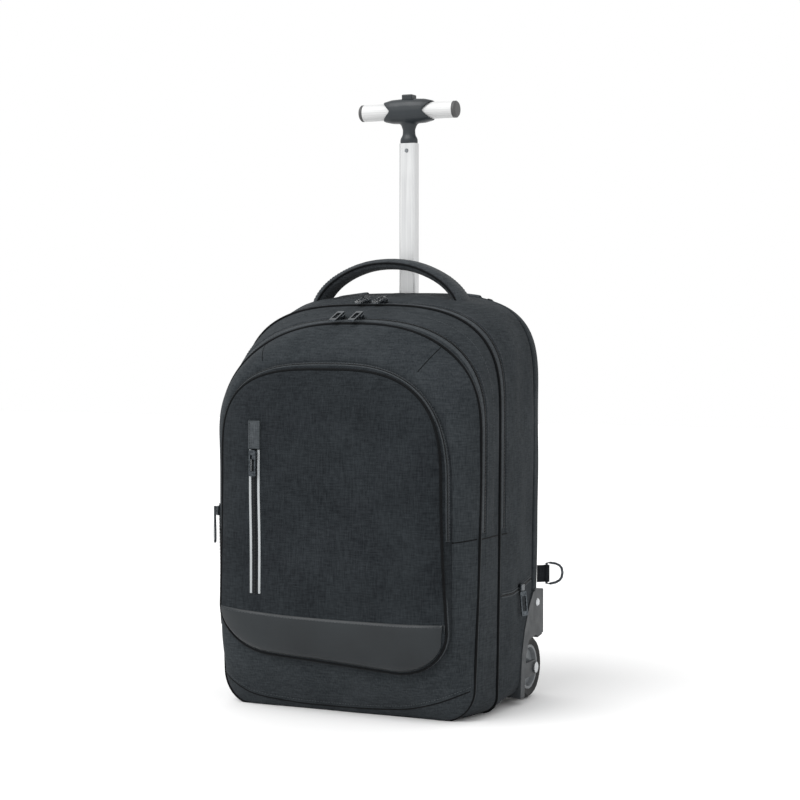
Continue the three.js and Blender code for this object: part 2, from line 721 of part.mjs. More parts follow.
function ellipseSection(x, halfDepth, halfHeight, count) {
  const points = [];
  for (let i = 0; i < count; i++) {
    const angle = (2 * Math.PI * i) / count;
    const [c, s] = [Math.cos(angle), Math.sin(angle)];
    const square = 0.8;
    const y = halfDepth * Math.sign(c) * Math.pow(Math.abs(c), square);
    const z = halfHeight * Math.sign(s) * Math.pow(Math.abs(s), square);
    points.push(new THREE.Vector3(x, tubeY + y, gripZ + z));
  }
  return points;
}

const HUB_SECTIONS = [
  { along: -1, fat: 0.77 },
  { along: -0.66, fat: 0.93 },
  { along: 0, fat: 1 },
  { along: 0.66, fat: 0.93 },
  { along: 1, fat: 0.77 },
];

const NECK_SECTIONS = [
  { up: 0, width: 1.45, depth: 1.3 },
  { up: 0.2, width: 1.4, depth: 1.26 },
  { up: 0.38, width: 1.05, depth: 1.02 },
  { up: 0.62, width: 1, depth: 1 },
  { up: 0.85, width: 1.3, depth: 1.15 },
  { up: 1, width: 1.9, depth: 1.5 },
];

function makeHandleBody() {
  const barrelSections = HUB_SECTIONS.map(({ along, fat }) => (
    ellipseSection(along * HUB_HALF_LENGTH, HUB_HALF_DEPTH * fat, HUB_HALF_HEIGHT * fat, 20)
  ));
  const barrel = skin(barrelSections);
  const neckHeight = gripZ - HUB_HALF_HEIGHT * 0.8 - neckBottomZ;
  const neckSections = NECK_SECTIONS.map(({ up, width, depth }) => {
    const points = [];
    for (let i = 0; i < 16; i++) {
      const angle = (2 * Math.PI * i) / 16;
      const x = (NECK_WIDTH / 2) * width * Math.cos(angle);
      const y = (NECK_DEPTH / 2) * depth * Math.sin(angle);
      points.push(new THREE.Vector3(x, tubeY + y, neckBottomZ + up * neckHeight));
    }
    return points;
  });
  const neck = skin(neckSections);
  const inside = 2 * (TUBE_WALL + SEAT_GAP);
  const spigot = uprightTube(
    TUBE_WIDTH - inside, TUBE_DEPTH - inside, 2, 0, neckBottomZ - SPIGOT_LENGTH, SPIGOT_LENGTH + 1,
  );
  let body = barrel.add(neck).add(spigot);
  body = body.subtract(solid(barAlongX(GRIP_RADIUS + SEAT_GAP, GRIP_LENGTH, 0, tubeY, gripZ, 24)));
  for (const side of [-1, 1]) {
    const notch = new THREE.Shape();
    const apexX = HUB_HALF_LENGTH - NOTCH_DEPTH;
    notch.moveTo(side * apexX, gripZ);
    notch.lineTo(side * (apexX + 2 * NOTCH_DEPTH), gripZ - 2 * NOTCH_HALF_MOUTH);
    notch.lineTo(side * (apexX + 2 * NOTCH_DEPTH), gripZ + 2 * NOTCH_HALF_MOUTH);
    notch.closePath();
    const wedge = new THREE.ExtrudeGeometry(notch, { depth: 4 * HUB_HALF_DEPTH, bevelEnabled: false });
    body = body.subtract(solid(wedge.rotateX(Math.PI / 2).translate(0, tubeY + 2 * HUB_HALF_DEPTH, 0)));
  }
  const wellSize = BUTTON_SIZE + 2 * SEAT_GAP;
  return body.subtract(solid(box(0, tubeY, gripZ + GRIP_LENGTH / 2, wellSize, wellSize, GRIP_LENGTH)));
}

const buttonBottomZ = gripZ + GRIP_RADIUS + BUTTON_TRAVEL + SEAT_GAP;

function makeButton() {
  const button = new RoundedBoxGeometry(BUTTON_SIZE, BUTTON_SIZE, BUTTON_HEIGHT, 1, 1.2);
  return geometryOf(solid(button.translate(0, tubeY, buttonBottomZ + BUTTON_HEIGHT / 2)));
}

// A slightly crowned cap on each end of the bar
function makeGripCap(side) {
  const radius = GRIP_RADIUS;
  const inner = side * (GRIP_LENGTH / 2 - GRIP_CAP_LENGTH + SEAT_GAP);
  const outer = side * (GRIP_LENGTH / 2);
  const ringAt = (x, r) => {
    const points = [];
    for (let i = 0; i < 24; i++) {
      const angle = (2 * Math.PI * i) / 24;
      points.push(new THREE.Vector3(x, tubeY + r * Math.cos(angle), gripZ + r * Math.sin(angle)));
    }
    return points;
  };
  const shoulder = outer - side * GRIP_CAP_CROWN;
  const end = ringAt(outer, radius - GRIP_CAP_CROWN);
  return geometryOf(skin([ringAt(inner, radius), ringAt(shoulder, radius), end]));
}

// The block on the rear pocket's floor that the outer tube stands on
function makeTrolleyBase() {
  const depth = REAR_HOLLOW_Y - REAR_FRONT_Y;
  const block = new RoundedBoxGeometry(BASE_BLOCK_WIDTH, depth, BASE_BLOCK_HEIGHT + 8, 1, 2);
  block.translate(0, REAR_FRONT_Y + depth / 2, floorZ + BASE_BLOCK_HEIGHT / 2 - 4);
  return solid(block).intersect(rearHollow(-SEAT_GAP));
}

// Wheels, turned about X
function turnedAboutX(profile, segments, x, y, z) {
  const points = profile.map(([radius, along]) => new THREE.Vector2(radius, along));
  return new THREE.LatheGeometry(points, segments).rotateZ(-Math.PI / 2).translate(x, y, z);
}

const hubRadius = WHEEL_RADIUS - TYRE_THICKNESS;
const wheelX = (wheelInnerX + wheelOuterX) / 2;
const tyreInner = hubRadius + SEAT_GAP;

function tyreProfile() {
  const half = WHEEL_WIDTH / 2;
  return [
    [tyreInner, -half * 0.82],
    [WHEEL_RADIUS - 4.5, -half],
    [WHEEL_RADIUS - 1.4, -half * 0.72],
    [WHEEL_RADIUS, -half * 0.3],
    [WHEEL_RADIUS, half * 0.3],
    [WHEEL_RADIUS - 1.4, half * 0.72],
    [WHEEL_RADIUS - 4.5, half],
    [tyreInner, half * 0.82],
    [tyreInner, -half * 0.82],
  ];
}

function hubProfile() {
  const half = WHEEL_WIDTH / 2;
  const bore = AXLE_RADIUS + BEARING_CLEARANCE;
  return [
    [bore, -half],
    [bore + 4, -half],
    [bore + 6, -half * 0.45],
    [hubRadius - 5, -half * 0.45],
    [hubRadius - 3, -half * 0.86],
    [hubRadius, -half * 0.86],
    [hubRadius, half * 0.86],
    [hubRadius - 3, half * 0.86],
    [hubRadius - 5, half * 0.45],
    [bore + 6, half * 0.45],
    [bore + 4, half],
    [bore, half],
    [bore, -half],
  ];
}

// The window in the housing's outer wall that shows the rear half of the wheel
const WINDOW_PROFILE = [
  { back: -0.97, up: -1.3 },
  { back: -0.93, up: -0.6 },
  { back: -0.86, up: 0 },
  { back: -0.72, up: 0.5 },
  { back: -0.5, up: 0.92 },
  { back: 0.1, up: 1 },
  { back: 2.2, up: 1 },
  { back: 2.2, up: -1.3 },
];

// The space in a housing that the wheel turns in, open at the bottom and to the back
function wheelWell() {
  const radius = WHEEL_RADIUS + WELL_CLEARANCE;
  const width = wheelOuterX - wheelInnerX + 2 * WHEEL_SIDE_GAP;
  const round = solid(barAlongX(radius, width, wheelX, WHEEL_Y, WHEEL_RADIUS, 36));
  const drop = box(wheelX, WHEEL_Y + radius, WELL_CLEARANCE, width, 2 * radius, 2 * WHEEL_RADIUS);
  return round.add(solid(drop));
}

// What the housing's rear outer corner loses, so that it goes round the corner of the bag
function cornerCut() {
  const tip = HOUSING_REAR_Y + HOUSING_CORNER_CUT;
  const run = tip - (HOUSING_REAR_Y - HOUSING_CORNER_CUT);
  const plan = new THREE.Shape();
  plan.moveTo(housingOuterX, HOUSING_REAR_Y - HOUSING_CORNER_CUT);
  plan.lineTo(housingOuterX + run, HOUSING_REAR_Y - HOUSING_CORNER_CUT);
  plan.lineTo(housingOuterX + run, tip);
  plan.lineTo(housingOuterX - run * HOUSING_CORNER_SLOPE, tip);
  plan.closePath();
  return solid(new THREE.ExtrudeGeometry(plan, { depth: BAG_HEIGHT, bevelEnabled: false }));
}

function makeWheelHousing() {
  const block = sideExtrusion(housingProfile, housingInnerX, housingOuterX);
  const windowOutline = WINDOW_PROFILE.map(({ back, up }) => (
    new THREE.Vector2(WHEEL_Y + back * WHEEL_RADIUS, WHEEL_RADIUS + up * WHEEL_RADIUS)
  ));
  const window = sideExtrusion(windowOutline, wheelOuterX + SEAT_GAP, housingOuterX + HOUSING_WALL);
  const flangeOuter = housingProfile.slice(0, EDGE_POINTS);
  const flangeInner = shifted(flangeOuter, FLANGE_WIDTH).reverse();
  const flangeOutline = [...flangeOuter, ...flangeInner];
  const flange = sideExtrusion(flangeOutline, housingOuterX - FLANGE_RISE, housingOuterX + FLANGE_RISE);
  const lug = sideExtrusion(lugProfile(), wheelOuterX + WHEEL_SIDE_GAP, housingOuterX);
  const bore = solid(barAlongX(AXLE_RADIUS + SEAT_GAP, BAG_WIDTH, wheelX, WHEEL_Y, WHEEL_RADIUS, 16));
  const shell = block.subtract(wheelWell()).subtract(window).subtract(cornerCut());
  return shell.add(flange).add(lug).subtract(bore);
}

// The lug that carries the axle's outer end
function lugProfile() {
  const width = AXLE_HEAD_RADIUS + LUG_WALL;
  return [
    new THREE.Vector2(HOUSING_FRONT_Y + LUG_REACH, WHEEL_RADIUS - width),
    new THREE.Vector2(WHEEL_Y, WHEEL_RADIUS - width),
    new THREE.Vector2(WHEEL_Y + width * 0.8, WHEEL_RADIUS - width * 0.5),
    new THREE.Vector2(WHEEL_Y + width * 0.8, WHEEL_RADIUS + width * 0.5),
    new THREE.Vector2(WHEEL_Y, WHEEL_RADIUS + width),
    new THREE.Vector2(HOUSING_FRONT_Y + LUG_REACH, WHEEL_RADIUS + width),
  ];
}

function makeAxle() {
  const length = housingOuterX + SEAT_GAP - housingInnerX;
  const middleX = housingInnerX + length / 2;
  const shaft = solid(barAlongX(AXLE_RADIUS, length, middleX, WHEEL_Y, WHEEL_RADIUS, 16));
  const headX = housingOuterX + SEAT_GAP + AXLE_HEAD_THICKNESS / 2 - 0.01;
  const head = solid(barAlongX(AXLE_HEAD_RADIUS, AXLE_HEAD_THICKNESS, headX, WHEEL_Y, WHEEL_RADIUS, 16));
  return shaft.add(head);
}

// D-shaped ring and its webbing tab at each lower rear corner
const ringBarX = RING_TAB_REACH;

function makeRing() {
  const steps = 18;
  const sections = [];
  const half = RING_HEIGHT / 2 - RING_WIRE;
  const outline = (t) => {
    const angle = 2 * Math.PI * t;
    const bulge = Math.max(Math.cos(angle), 0);
    const across = ringBarX + Math.pow(bulge, 0.8) * (RING_REACH - RING_WIRE);
    const up = Math.sign(Math.sin(angle)) * Math.pow(Math.abs(Math.sin(angle)), 0.75);
    return new THREE.Vector3(across, 0, half * up);
  };
  for (let i = 0; i <= steps; i++) {
    const centre = outline(i / steps);
    const tangent = outline((i + 0.5) / steps).sub(outline((i - 0.5) / steps)).normalize();
    const side = new THREE.Vector3(0, 1, 0);
    const up = new THREE.Vector3().crossVectors(tangent, side).normalize();
    const points = [];
    for (let j = 0; j < 6; j++) {
      const angle = (2 * Math.PI * j) / 6;
      const point = centre.clone();
      point.addScaledVector(side, RING_WIRE * Math.cos(angle));
      point.addScaledVector(up, RING_WIRE * Math.sin(angle));
      points.push(point);
    }
    sections.push(points);
  }
  return atCorner(new LoftGeometry(sections, {}));
}

const ringTurn = THREE.MathUtils.degToRad(42);
const ringSeatX = HALF - 6;
const ringSeatY = REAR_FRONT_Y + REAR_DEPTH * 0.55;

function atCorner(geometry) {
  return solid(geometry.rotateZ(ringTurn).translate(ringSeatX, ringSeatY, RING_TAB_Z));
}

// The tab is a folded webbing loop: its fold goes round the ring's straight bar
function makeRingTab() {
  const height = RING_HEIGHT - 5.2 * RING_WIRE;
  const eyeRadius = RING_WIRE + 2 * SEAT_GAP;
  const tab = atCorner(box(RING_TAB_REACH / 2, 0, 0, RING_TAB_REACH, RING_TAB_THICKNESS, height));
  const eye = new THREE.CylinderGeometry(eyeRadius, eyeRadius, RING_HEIGHT, 12);
  const foldRadius = eyeRadius + RING_TAB_THICKNESS * 0.44;
  const fold = new THREE.CylinderGeometry(foldRadius, foldRadius, height, 12);
  for (const part of [eye, fold]) part.rotateX(Math.PI / 2).translate(ringBarX, 0, 0);
  return tab.add(atCorner(fold)).subtract(atCorner(eye)).subtract(rearOuter(SEAT_GAP));
}

// The dome-headed rivet near the housing's top
function makeRivet() {
  const y = HOUSING_FRONT_Y + housingLength * 0.65;
  const z = HOUSING_BOTTOM_Z + housingHeight * 0.868;
  const profile = [[0, 0], [RIVET_RADIUS, 0], [RIVET_RADIUS * 0.75, RIVET_HEIGHT * 0.8], [0, RIVET_HEIGHT]];
  return solid(turnedAboutX(profile, 16, housingOuterX + SEAT_GAP, y, z));
}

// A zip slider and its pull, built flat: the zip's surface is z = 0 and the pull hangs along -Y
function makeSlider() {
  const body = new RoundedBoxGeometry(SLIDER_WIDTH, SLIDER_LENGTH, SLIDER_HEIGHT + 1, 1, 1);
  return body.translate(0, 0, (SLIDER_HEIGHT - 1) / 2);
}

const pullLift = SLIDER_HEIGHT + SEAT_GAP;

function makeFramePull(length) {
  const outline = roundedRectangle(PULL_WIDTH, length, 1.5, false);
  outline.holes.push(roundedRectangle(PULL_WIDTH - 2 * PULL_WIRE, length * 0.62, 0.8, true));
  const depth = PULL_WIRE;
  const pull = new THREE.ExtrudeGeometry(outline, { depth, bevelEnabled: false, curveSegments: 1 });
  return pull.translate(0, SLIDER_LENGTH / 2 - length / 2, pullLift);
}

function makeDropPull(length) {
  const outline = new THREE.Shape();
  const [wide, narrow] = [PULL_WIDTH / 2, PULL_WIRE];
  outline.moveTo(-narrow, SLIDER_LENGTH / 2);
  outline.lineTo(-narrow, -length * 0.3);
  outline.bezierCurveTo(-wide * 1.3, -length * 0.75, -wide, -length, 0, -length);
  outline.bezierCurveTo(wide, -length, wide * 1.3, -length * 0.75, narrow, -length * 0.3);
  outline.lineTo(narrow, SLIDER_LENGTH / 2);
  outline.closePath();
  const depth = PULL_WIRE * 1.4;
  const pull = new THREE.ExtrudeGeometry(outline, { depth, bevelEnabled: false, curveSegments: 5 });
  return pull.translate(0, 0, pullLift);
}

// Moves a flat-built piece to a point of the cloth, its -Y along a direction and its +Z off the cloth
function placedOnCloth(geometry, point, along, out) {
  const z = out.clone().normalize();
  const x = new THREE.Vector3().crossVectors(along.clone().negate(), z).normalize();
  const y = new THREE.Vector3().crossVectors(z, x);
  return solid(geometry.applyMatrix4(new THREE.Matrix4().makeBasis(x, y, z).setPosition(point)));
}

// How far a place a little behind a seam lies between that seam's height and the next one's
function zipHeight(near, far, run) {
  return THREE.MathUtils.lerp(near.top, far.top, ZIP_BEHIND_SEAM / run);
}

// Each zip: its slider's place, the ways it runs and leaves the cloth, the ways its pull hangs and faces
const vector = (x, y, z) => new THREE.Vector3(x, y, z);
const alongX = vector(1, 0, 0);
const alongY = vector(0, 1, 0);
const down = vector(0, 0, -1);
const frontZipPlace = (x) => vector(x, SEAM_ONE_Y + ZIP_BEHIND_SEAM, frontZipZ);
const frontZipZ = zipHeight(seamOneOutline, seamTwoOutline, FRONT_DEPTH) + 2 * SEAT_GAP;
const mainZipPlace = (x) => vector(x, MAIN_FRONT_Y + ZIP_BEHIND_SEAM, mainZipZ);
const mainZipZ = zipHeight(seamTwoOutline, mainMiddle, mainMiddleY - MAIN_FRONT_Y) + SEAT_GAP;
const pocketFacePlace = vector(
  FRONT_ZIP_X,
  POCKET_EDGE_Y - POCKET_DOME * 0.9,
  frontZipTop - FRONT_ZIP_TAB_LENGTH - SLIDER_LENGTH / 2 - 2 * SEAT_GAP,
);
const panelSide = mixed(panelOutline, seamOneOutline, 0.56);
const panelSidePlace = vector(-panelSide.half, PANEL_Y + PANEL_SLOPE_DEPTH * 0.38, pocketSideZ);
const frontOut = vector(0, -0.42, 1);
const mainOut = vector(0, -0.3, 1);
const faceOut = vector(-0.04, -1, 0.02);
const panelOut = vector(-1, -0.8, 0);
const turnedOut = vector(0.85, -0.53, 0);
const frontHang = vector(0, -1, -0.46);
const mainHang = vector(0, -1, -0.36);
const sideHang = vector(0, 0.12, -1);
const FRONT_ZIP = { run: alongX, out: frontOut, hang: frontHang, facing: frontOut, length: PULL_LENGTH };
const MAIN_ZIP = { run: alongX, out: mainOut, hang: mainHang, facing: mainOut, length: PULL_LENGTH };
const FACE_ZIP = { run: down, out: faceOut, hang: down, facing: faceOut, length: FACE_PULL_LENGTH };
const SIDE_ZIP = { run: alongY, out: alongX, hang: sideHang, facing: turnedOut, length: SIDE_PULL_LENGTH };
const PANEL_ZIP = { run: down, out: panelOut, hang: down, facing: panelOut, length: DROP_PULL_LENGTH };
const belowSlider = (SLIDER_LENGTH + SLIDER_WIDTH) / 2 + SEAT_GAP;
const ZIPS = [
  { name: 'front_left', at: frontZipPlace(-15), ...FRONT_ZIP },
  { name: 'front_right', at: frontZipPlace(9), ...FRONT_ZIP },
  { name: 'main_left', at: mainZipPlace(-9), ...MAIN_ZIP },
  { name: 'main_right', at: mainZipPlace(13), ...MAIN_ZIP },
  { name: 'pocket_face', at: pocketFacePlace, ...FACE_ZIP },
  { name: 'side', at: vector(sideZipX, sideZipY, SIDE_ZIP_Z), ...SIDE_ZIP, below: belowSlider },
  { name: 'pocket_side', at: panelSidePlace, ...PANEL_ZIP, drop: true },
];

// Build the soft bag
addPiece('front_pocket', geometryOf(makeFrontPocket()), 'pocketFabric');
addPiece('leather_strip', geometryOf(makeLeatherStrip()), 'leather');
addPiece('front_zip_tab', geometryOf(makeFrontZipTab()), 'webbing');
addPiece('front_compartment', geometryOf(makeFrontCompartment()), 'panelFabric');
addPiece('main_compartment', geometryOf(makeMainCompartment()), 'panelFabric');
addPiece('back_wall', geometryOf(makeBackWall()), 'panelFabric');
addPiece('rear_cover', geometryOf(makeRearCover()), 'panelFabric');
addPiece('carry_handle', geometryOf(makeCarryHandle()), 'webbing');
addPiece('shoulder_strap_left', geometryOf(makeShoulderStrap(-1)), 'strapFabric');
addPiece('shoulder_strap_right', geometryOf(makeShoulderStrap(1)), 'strapFabric');

// Build the pull handle
addPiece('trolley_base', geometryOf(makeTrolleyBase()), 'housingPlastic');
addPiece('trolley_outer_tube', geometryOf(makeOuterTube()), 'aluminium');
addPiece('trolley_inner_tube', geometryOf(makeInnerTube()), 'aluminium');
addPiece('tube_pin', pinCylinder(TUBE_PIN_RADIUS, -0.8, 2.2), 'capPlastic');
addPiece('handle_body', geometryOf(makeHandleBody()), 'handlePlastic');
const gripBar = barAlongX(GRIP_RADIUS, GRIP_LENGTH - 2 * GRIP_CAP_LENGTH, 0, tubeY, gripZ, 24);
addPiece('grip_bar', gripBar, 'satinWhite');
addPiece('release_button', makeButton(), 'handlePlastic');

// Build what comes in pairs
for (const [name, side] of [['left', -1], ['right', 1]]) {
  const mirrored = (manifold) => geometryOf(side > 0 ? manifold : manifold.mirror([1, 0, 0]));
  addPiece(`grip_cap_${name}`, makeGripCap(side), 'capPlastic');
  addPiece(`wheel_housing_${name}`, mirrored(makeWheelHousing()), 'housingPlastic');
  addPiece(`housing_rivet_${name}`, mirrored(makeRivet()), 'steel');
  addPiece(`axle_${name}`, mirrored(makeAxle()), 'steel');
  const hub = turnedAboutX(hubProfile(), 20, side * wheelX, WHEEL_Y, WHEEL_RADIUS);
  addPiece(`wheel_hub_${name}`, hub, 'hubPlastic');
  const tyre = turnedAboutX(tyreProfile(), 28, side * wheelX, WHEEL_Y, WHEEL_RADIUS);
  addPiece(`tyre_${name}`, tyre, 'tyre');
  addPiece(`ring_tab_${name}`, mirrored(makeRingTab()), 'webbing');
  addPiece(`d_ring_${name}`, mirrored(makeRing()), 'gunmetal');
}

// Build the zip sliders and their pulls
const cloth = pocketOuter(SEAT_GAP).add(frontOuter(SEAT_GAP)).add(mainOuter(SEAT_GAP));
for (const { name, at, run, out, hang, facing, length, drop, below = 0 } of ZIPS) {
  const pull = drop ? makeDropPull(length) : makeFramePull(length);
  const slider = placedOnCloth(makeSlider(), at, run, out).subtract(cloth);
  addPiece(`zip_slider_${name}`, geometryOf(slider), 'gunmetal');
  const start = at.clone().addScaledVector(hang, below);
  addPiece(`zip_pull_${name}`, geometryOf(placedOnCloth(pull, start, hang, facing)), 'gunmetal');
}

export default bag;
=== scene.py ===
import math

import bpy
import numpy as np
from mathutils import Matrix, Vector
from mathutils.bvhtree import BVHTree


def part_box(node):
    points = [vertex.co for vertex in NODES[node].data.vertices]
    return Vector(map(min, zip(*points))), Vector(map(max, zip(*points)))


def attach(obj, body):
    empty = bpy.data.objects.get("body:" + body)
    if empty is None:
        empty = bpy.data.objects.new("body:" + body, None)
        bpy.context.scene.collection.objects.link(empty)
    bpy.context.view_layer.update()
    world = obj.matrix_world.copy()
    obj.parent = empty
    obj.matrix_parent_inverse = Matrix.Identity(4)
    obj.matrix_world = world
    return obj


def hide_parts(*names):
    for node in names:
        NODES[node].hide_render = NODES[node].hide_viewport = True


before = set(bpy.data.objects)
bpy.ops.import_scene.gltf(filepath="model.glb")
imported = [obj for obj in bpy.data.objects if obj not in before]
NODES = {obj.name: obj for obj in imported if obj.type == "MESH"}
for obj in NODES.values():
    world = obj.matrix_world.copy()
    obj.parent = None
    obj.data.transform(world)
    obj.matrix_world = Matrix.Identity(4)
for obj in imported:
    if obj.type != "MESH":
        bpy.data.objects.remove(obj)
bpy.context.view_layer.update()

# Lengths below are millimetres in the frame of the part; the meshes are written in metres
MM = 0.001
HALF = 168.5
HEIGHT = 484.0
SEAM_TWO_Y = round(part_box("main_compartment")[0][1] / MM, 2)
SEAM_ONE_Y = SEAM_TWO_Y - 55
PANEL_Y = SEAM_ONE_Y - 32
POCKET_Y = PANEL_Y - 12
DOME = 12.0
MAIN_BACK_Y = SEAM_TWO_Y + 102
REAR_FRONT_Y = MAIN_BACK_Y + 3.6
REAR_BACK_Y = REAR_FRONT_Y + 31
HOLLOW_BACK_Y = REAR_BACK_Y - 9
CARRY_Y = SEAM_TWO_Y + 102 * 0.62
WHEEL_Y = REAR_BACK_Y - 27
BAND_SEAM_Z = 207.0
ZIP_X = -91.0
ZIP_LOW, ZIP_HIGH, STRIPE_TOP = 139.0, 336.0, 304.0
LEFT_ZIP_X = -159.0
STRAP_X = 75.0
MOUTH_HALF = 107.0
RAY = 300.0
CLOTH_FRAMES, CLOTH_STIFFNESS = 20, 30

# Camera
camera = bpy.data.objects.new("camera", bpy.data.cameras.new("camera"))
bpy.context.scene.collection.objects.link(camera)
camera.location = (0.9990, -2.0713 + SEAM_TWO_Y * MM, 0.4493)
camera.rotation_euler = (math.radians(87.73), 0.0, math.radians(24.82))
camera.data.lens = 88.3
camera.data.sensor_width = 36.0
bpy.context.scene.camera = camera


# Materials
def linear(code):
    """Linear colour from a hexadecimal one."""
    parts = [int(code[i:i + 2], 16) / 255 for i in (1, 3, 5)]
    return [p / 12.92 if p <= 0.04045 else ((p + 0.055) / 1.055) ** 2.4 for p in parts] + [1.0]


class Shader:
    """A material with its nodes, built step by step."""

    def __init__(self, name, roughness=0.6, metallic=0.0, **sockets):
        self.material = bpy.data.materials.new(name)
        self.material.use_nodes = True
        self.tree = self.material.node_tree
        self.bsdf = self.tree.nodes["Principled BSDF"]
        self.bsdf.inputs["Roughness"].default_value = roughness
        self.bsdf.inputs["Metallic"].default_value = metallic
        for socket, value in sockets.items():
            self.bsdf.inputs[socket.replace("_", " ")].default_value = value
        self.coordinates = self.node("ShaderNodeTexCoord").outputs["Object"]

    def node(self, kind, **values):
        node = self.tree.nodes.new(kind)
        for key, value in values.items():
            setattr(node, key, value)
        return node

    def link(self, a, b):
        self.tree.links.new(a, b)

    def scaled(self, scale):
        mapping = self.node("ShaderNodeMapping")
        mapping.inputs["Scale"].default_value = scale
        self.link(self.coordinates, mapping.inputs["Vector"])
        return mapping.outputs["Vector"]

    def noise(self, scale, detail=2.0):
        noise = self.node("ShaderNodeTexNoise")
        noise.inputs["Scale"].default_value = 1.0
        noise.inputs["Detail"].default_value = detail
        self.link(self.scaled(scale), noise.inputs["Vector"])
        return noise.outputs["Fac"]

    def cells(self, scale):
        cells = self.node("ShaderNodeTexVoronoi")
        cells.inputs["Scale"].default_value = 1.0
        self.link(self.scaled(scale), cells.inputs["Vector"])
        return cells.outputs["Distance"]

    def mean(self, a, b, share=0.5):
        mix = self.node("ShaderNodeMix", data_type="FLOAT")
        mix.inputs[0].default_value = share
        self.link(a, mix.inputs[2])
        self.link(b, mix.inputs[3])
        return mix.outputs[0]

    def ramp(self, value, stops):
        ramp = self.node("ShaderNodeValToRGB")
        elements = ramp.color_ramp.elements
        while len(elements) < len(stops):
            elements.new(0.5)
        for element, (place, colour) in zip(elements, stops):
            element.position = place
            element.color = colour
        self.link(value, ramp.inputs["Fac"])
        return ramp.outputs["Color"]

    def colour(self, output):
        self.link(output, self.bsdf.inputs["Base Color"])

    def rough(self, value, low, high):
        grey = self.ramp(value, [(0.3, [low] * 3 + [1]), (0.7, [high] * 3 + [1])])
        self.link(grey, self.bsdf.inputs["Roughness"])

    def bump(self, value, distance, strength=1.0):
        bump = self.node("ShaderNodeBump")
        bump.inputs["Distance"].default_value = distance
        bump.inputs["Strength"].default_value = strength
        self.link(value, bump.inputs["Height"])
        self.link(bump.outputs["Normal"], self.bsdf.inputs["Normal"])


def woven(name, dark, light, coarse=1.0, bump=0.0005, sheen=0.02, rough=0.9):
    """Heathered weave: long flecks of two directions over a fine thread bump."""
    s = Shader(name, rough, Sheen_Weight=sheen, Sheen_Roughness=0.5, Specular_IOR_Level=0.08)
    weft = s.noise((95 * coarse, 95 * coarse, 720 * coarse), 2.5)
    warp = s.noise((720 * coarse, 720 * coarse, 95 * coarse), 2.5)
    flecks = s.mean(weft, warp)
    patches = s.noise((22, 22, 22), 2.0)
    value = s.mean(flecks, patches, 0.22)
    middle = [(a + b) / 2 for a, b in zip(linear(dark), linear(light))]
    s.colour(s.ramp(value, [(0.36, linear(dark)), (0.5, middle), (0.64, linear(light))]))
    thread_a = s.noise((260, 260, 1500), 1.0)
    thread_b = s.noise((1500, 1500, 260), 1.0)
    s.bump(s.mean(thread_a, thread_b), bump, 0.8)
    return s.material


def leather(name, dark, light):
    """Smooth satin leather with a fine grain."""
    s = Shader(name, 0.45, Specular_IOR_Level=0.3, Coat_Weight=0.06, Coat_Roughness=0.3)
    tone = s.noise((14, 14, 14), 3.0)
    s.colour(s.ramp(tone, [(0.3, linear(dark)), (0.7, linear(light))]))
    s.rough(s.noise((45, 45, 45), 3.0), 0.38, 0.52)
    s.bump(s.mean(s.cells((900, 900, 900)), s.noise((300, 300, 300), 3.0), 0.4), 0.00012, 0.6)
    return s.material


def moulded(name, dark, light, rough=0.5, grain=1400.0, bump=0.00008):
    """Moulded plastic: slight tone changes, a fine spark texture."""
    s = Shader(name, rough, Specular_IOR_Level=0.4)
    s.colour(s.ramp(s.noise((9, 9, 9), 3.0), [(0.35, linear(dark)), (0.65, linear(light))]))
    s.rough(s.noise((70, 70, 70), 4.0), rough - 0.07, rough + 0.07)
    s.bump(s.noise((grain, grain, grain), 2.0), bump, 0.7)
    return s.material


def metal(name, dark, light, rough, streak, metallic=1.0):
    """Plated or brushed metal, its streaks along one axis."""
    s = Shader(name, rough, metallic)
    lines = s.noise(streak, 2.0)
    s.colour(s.ramp(s.mean(lines, s.noise((12, 12, 12), 2.0)), [(0.35, linear(dark)), (0.65, linear(light))]))
    s.rough(lines, rough - 0.06, rough + 0.08)
    s.bump(lines, 0.00003, 0.5)
    return s.material


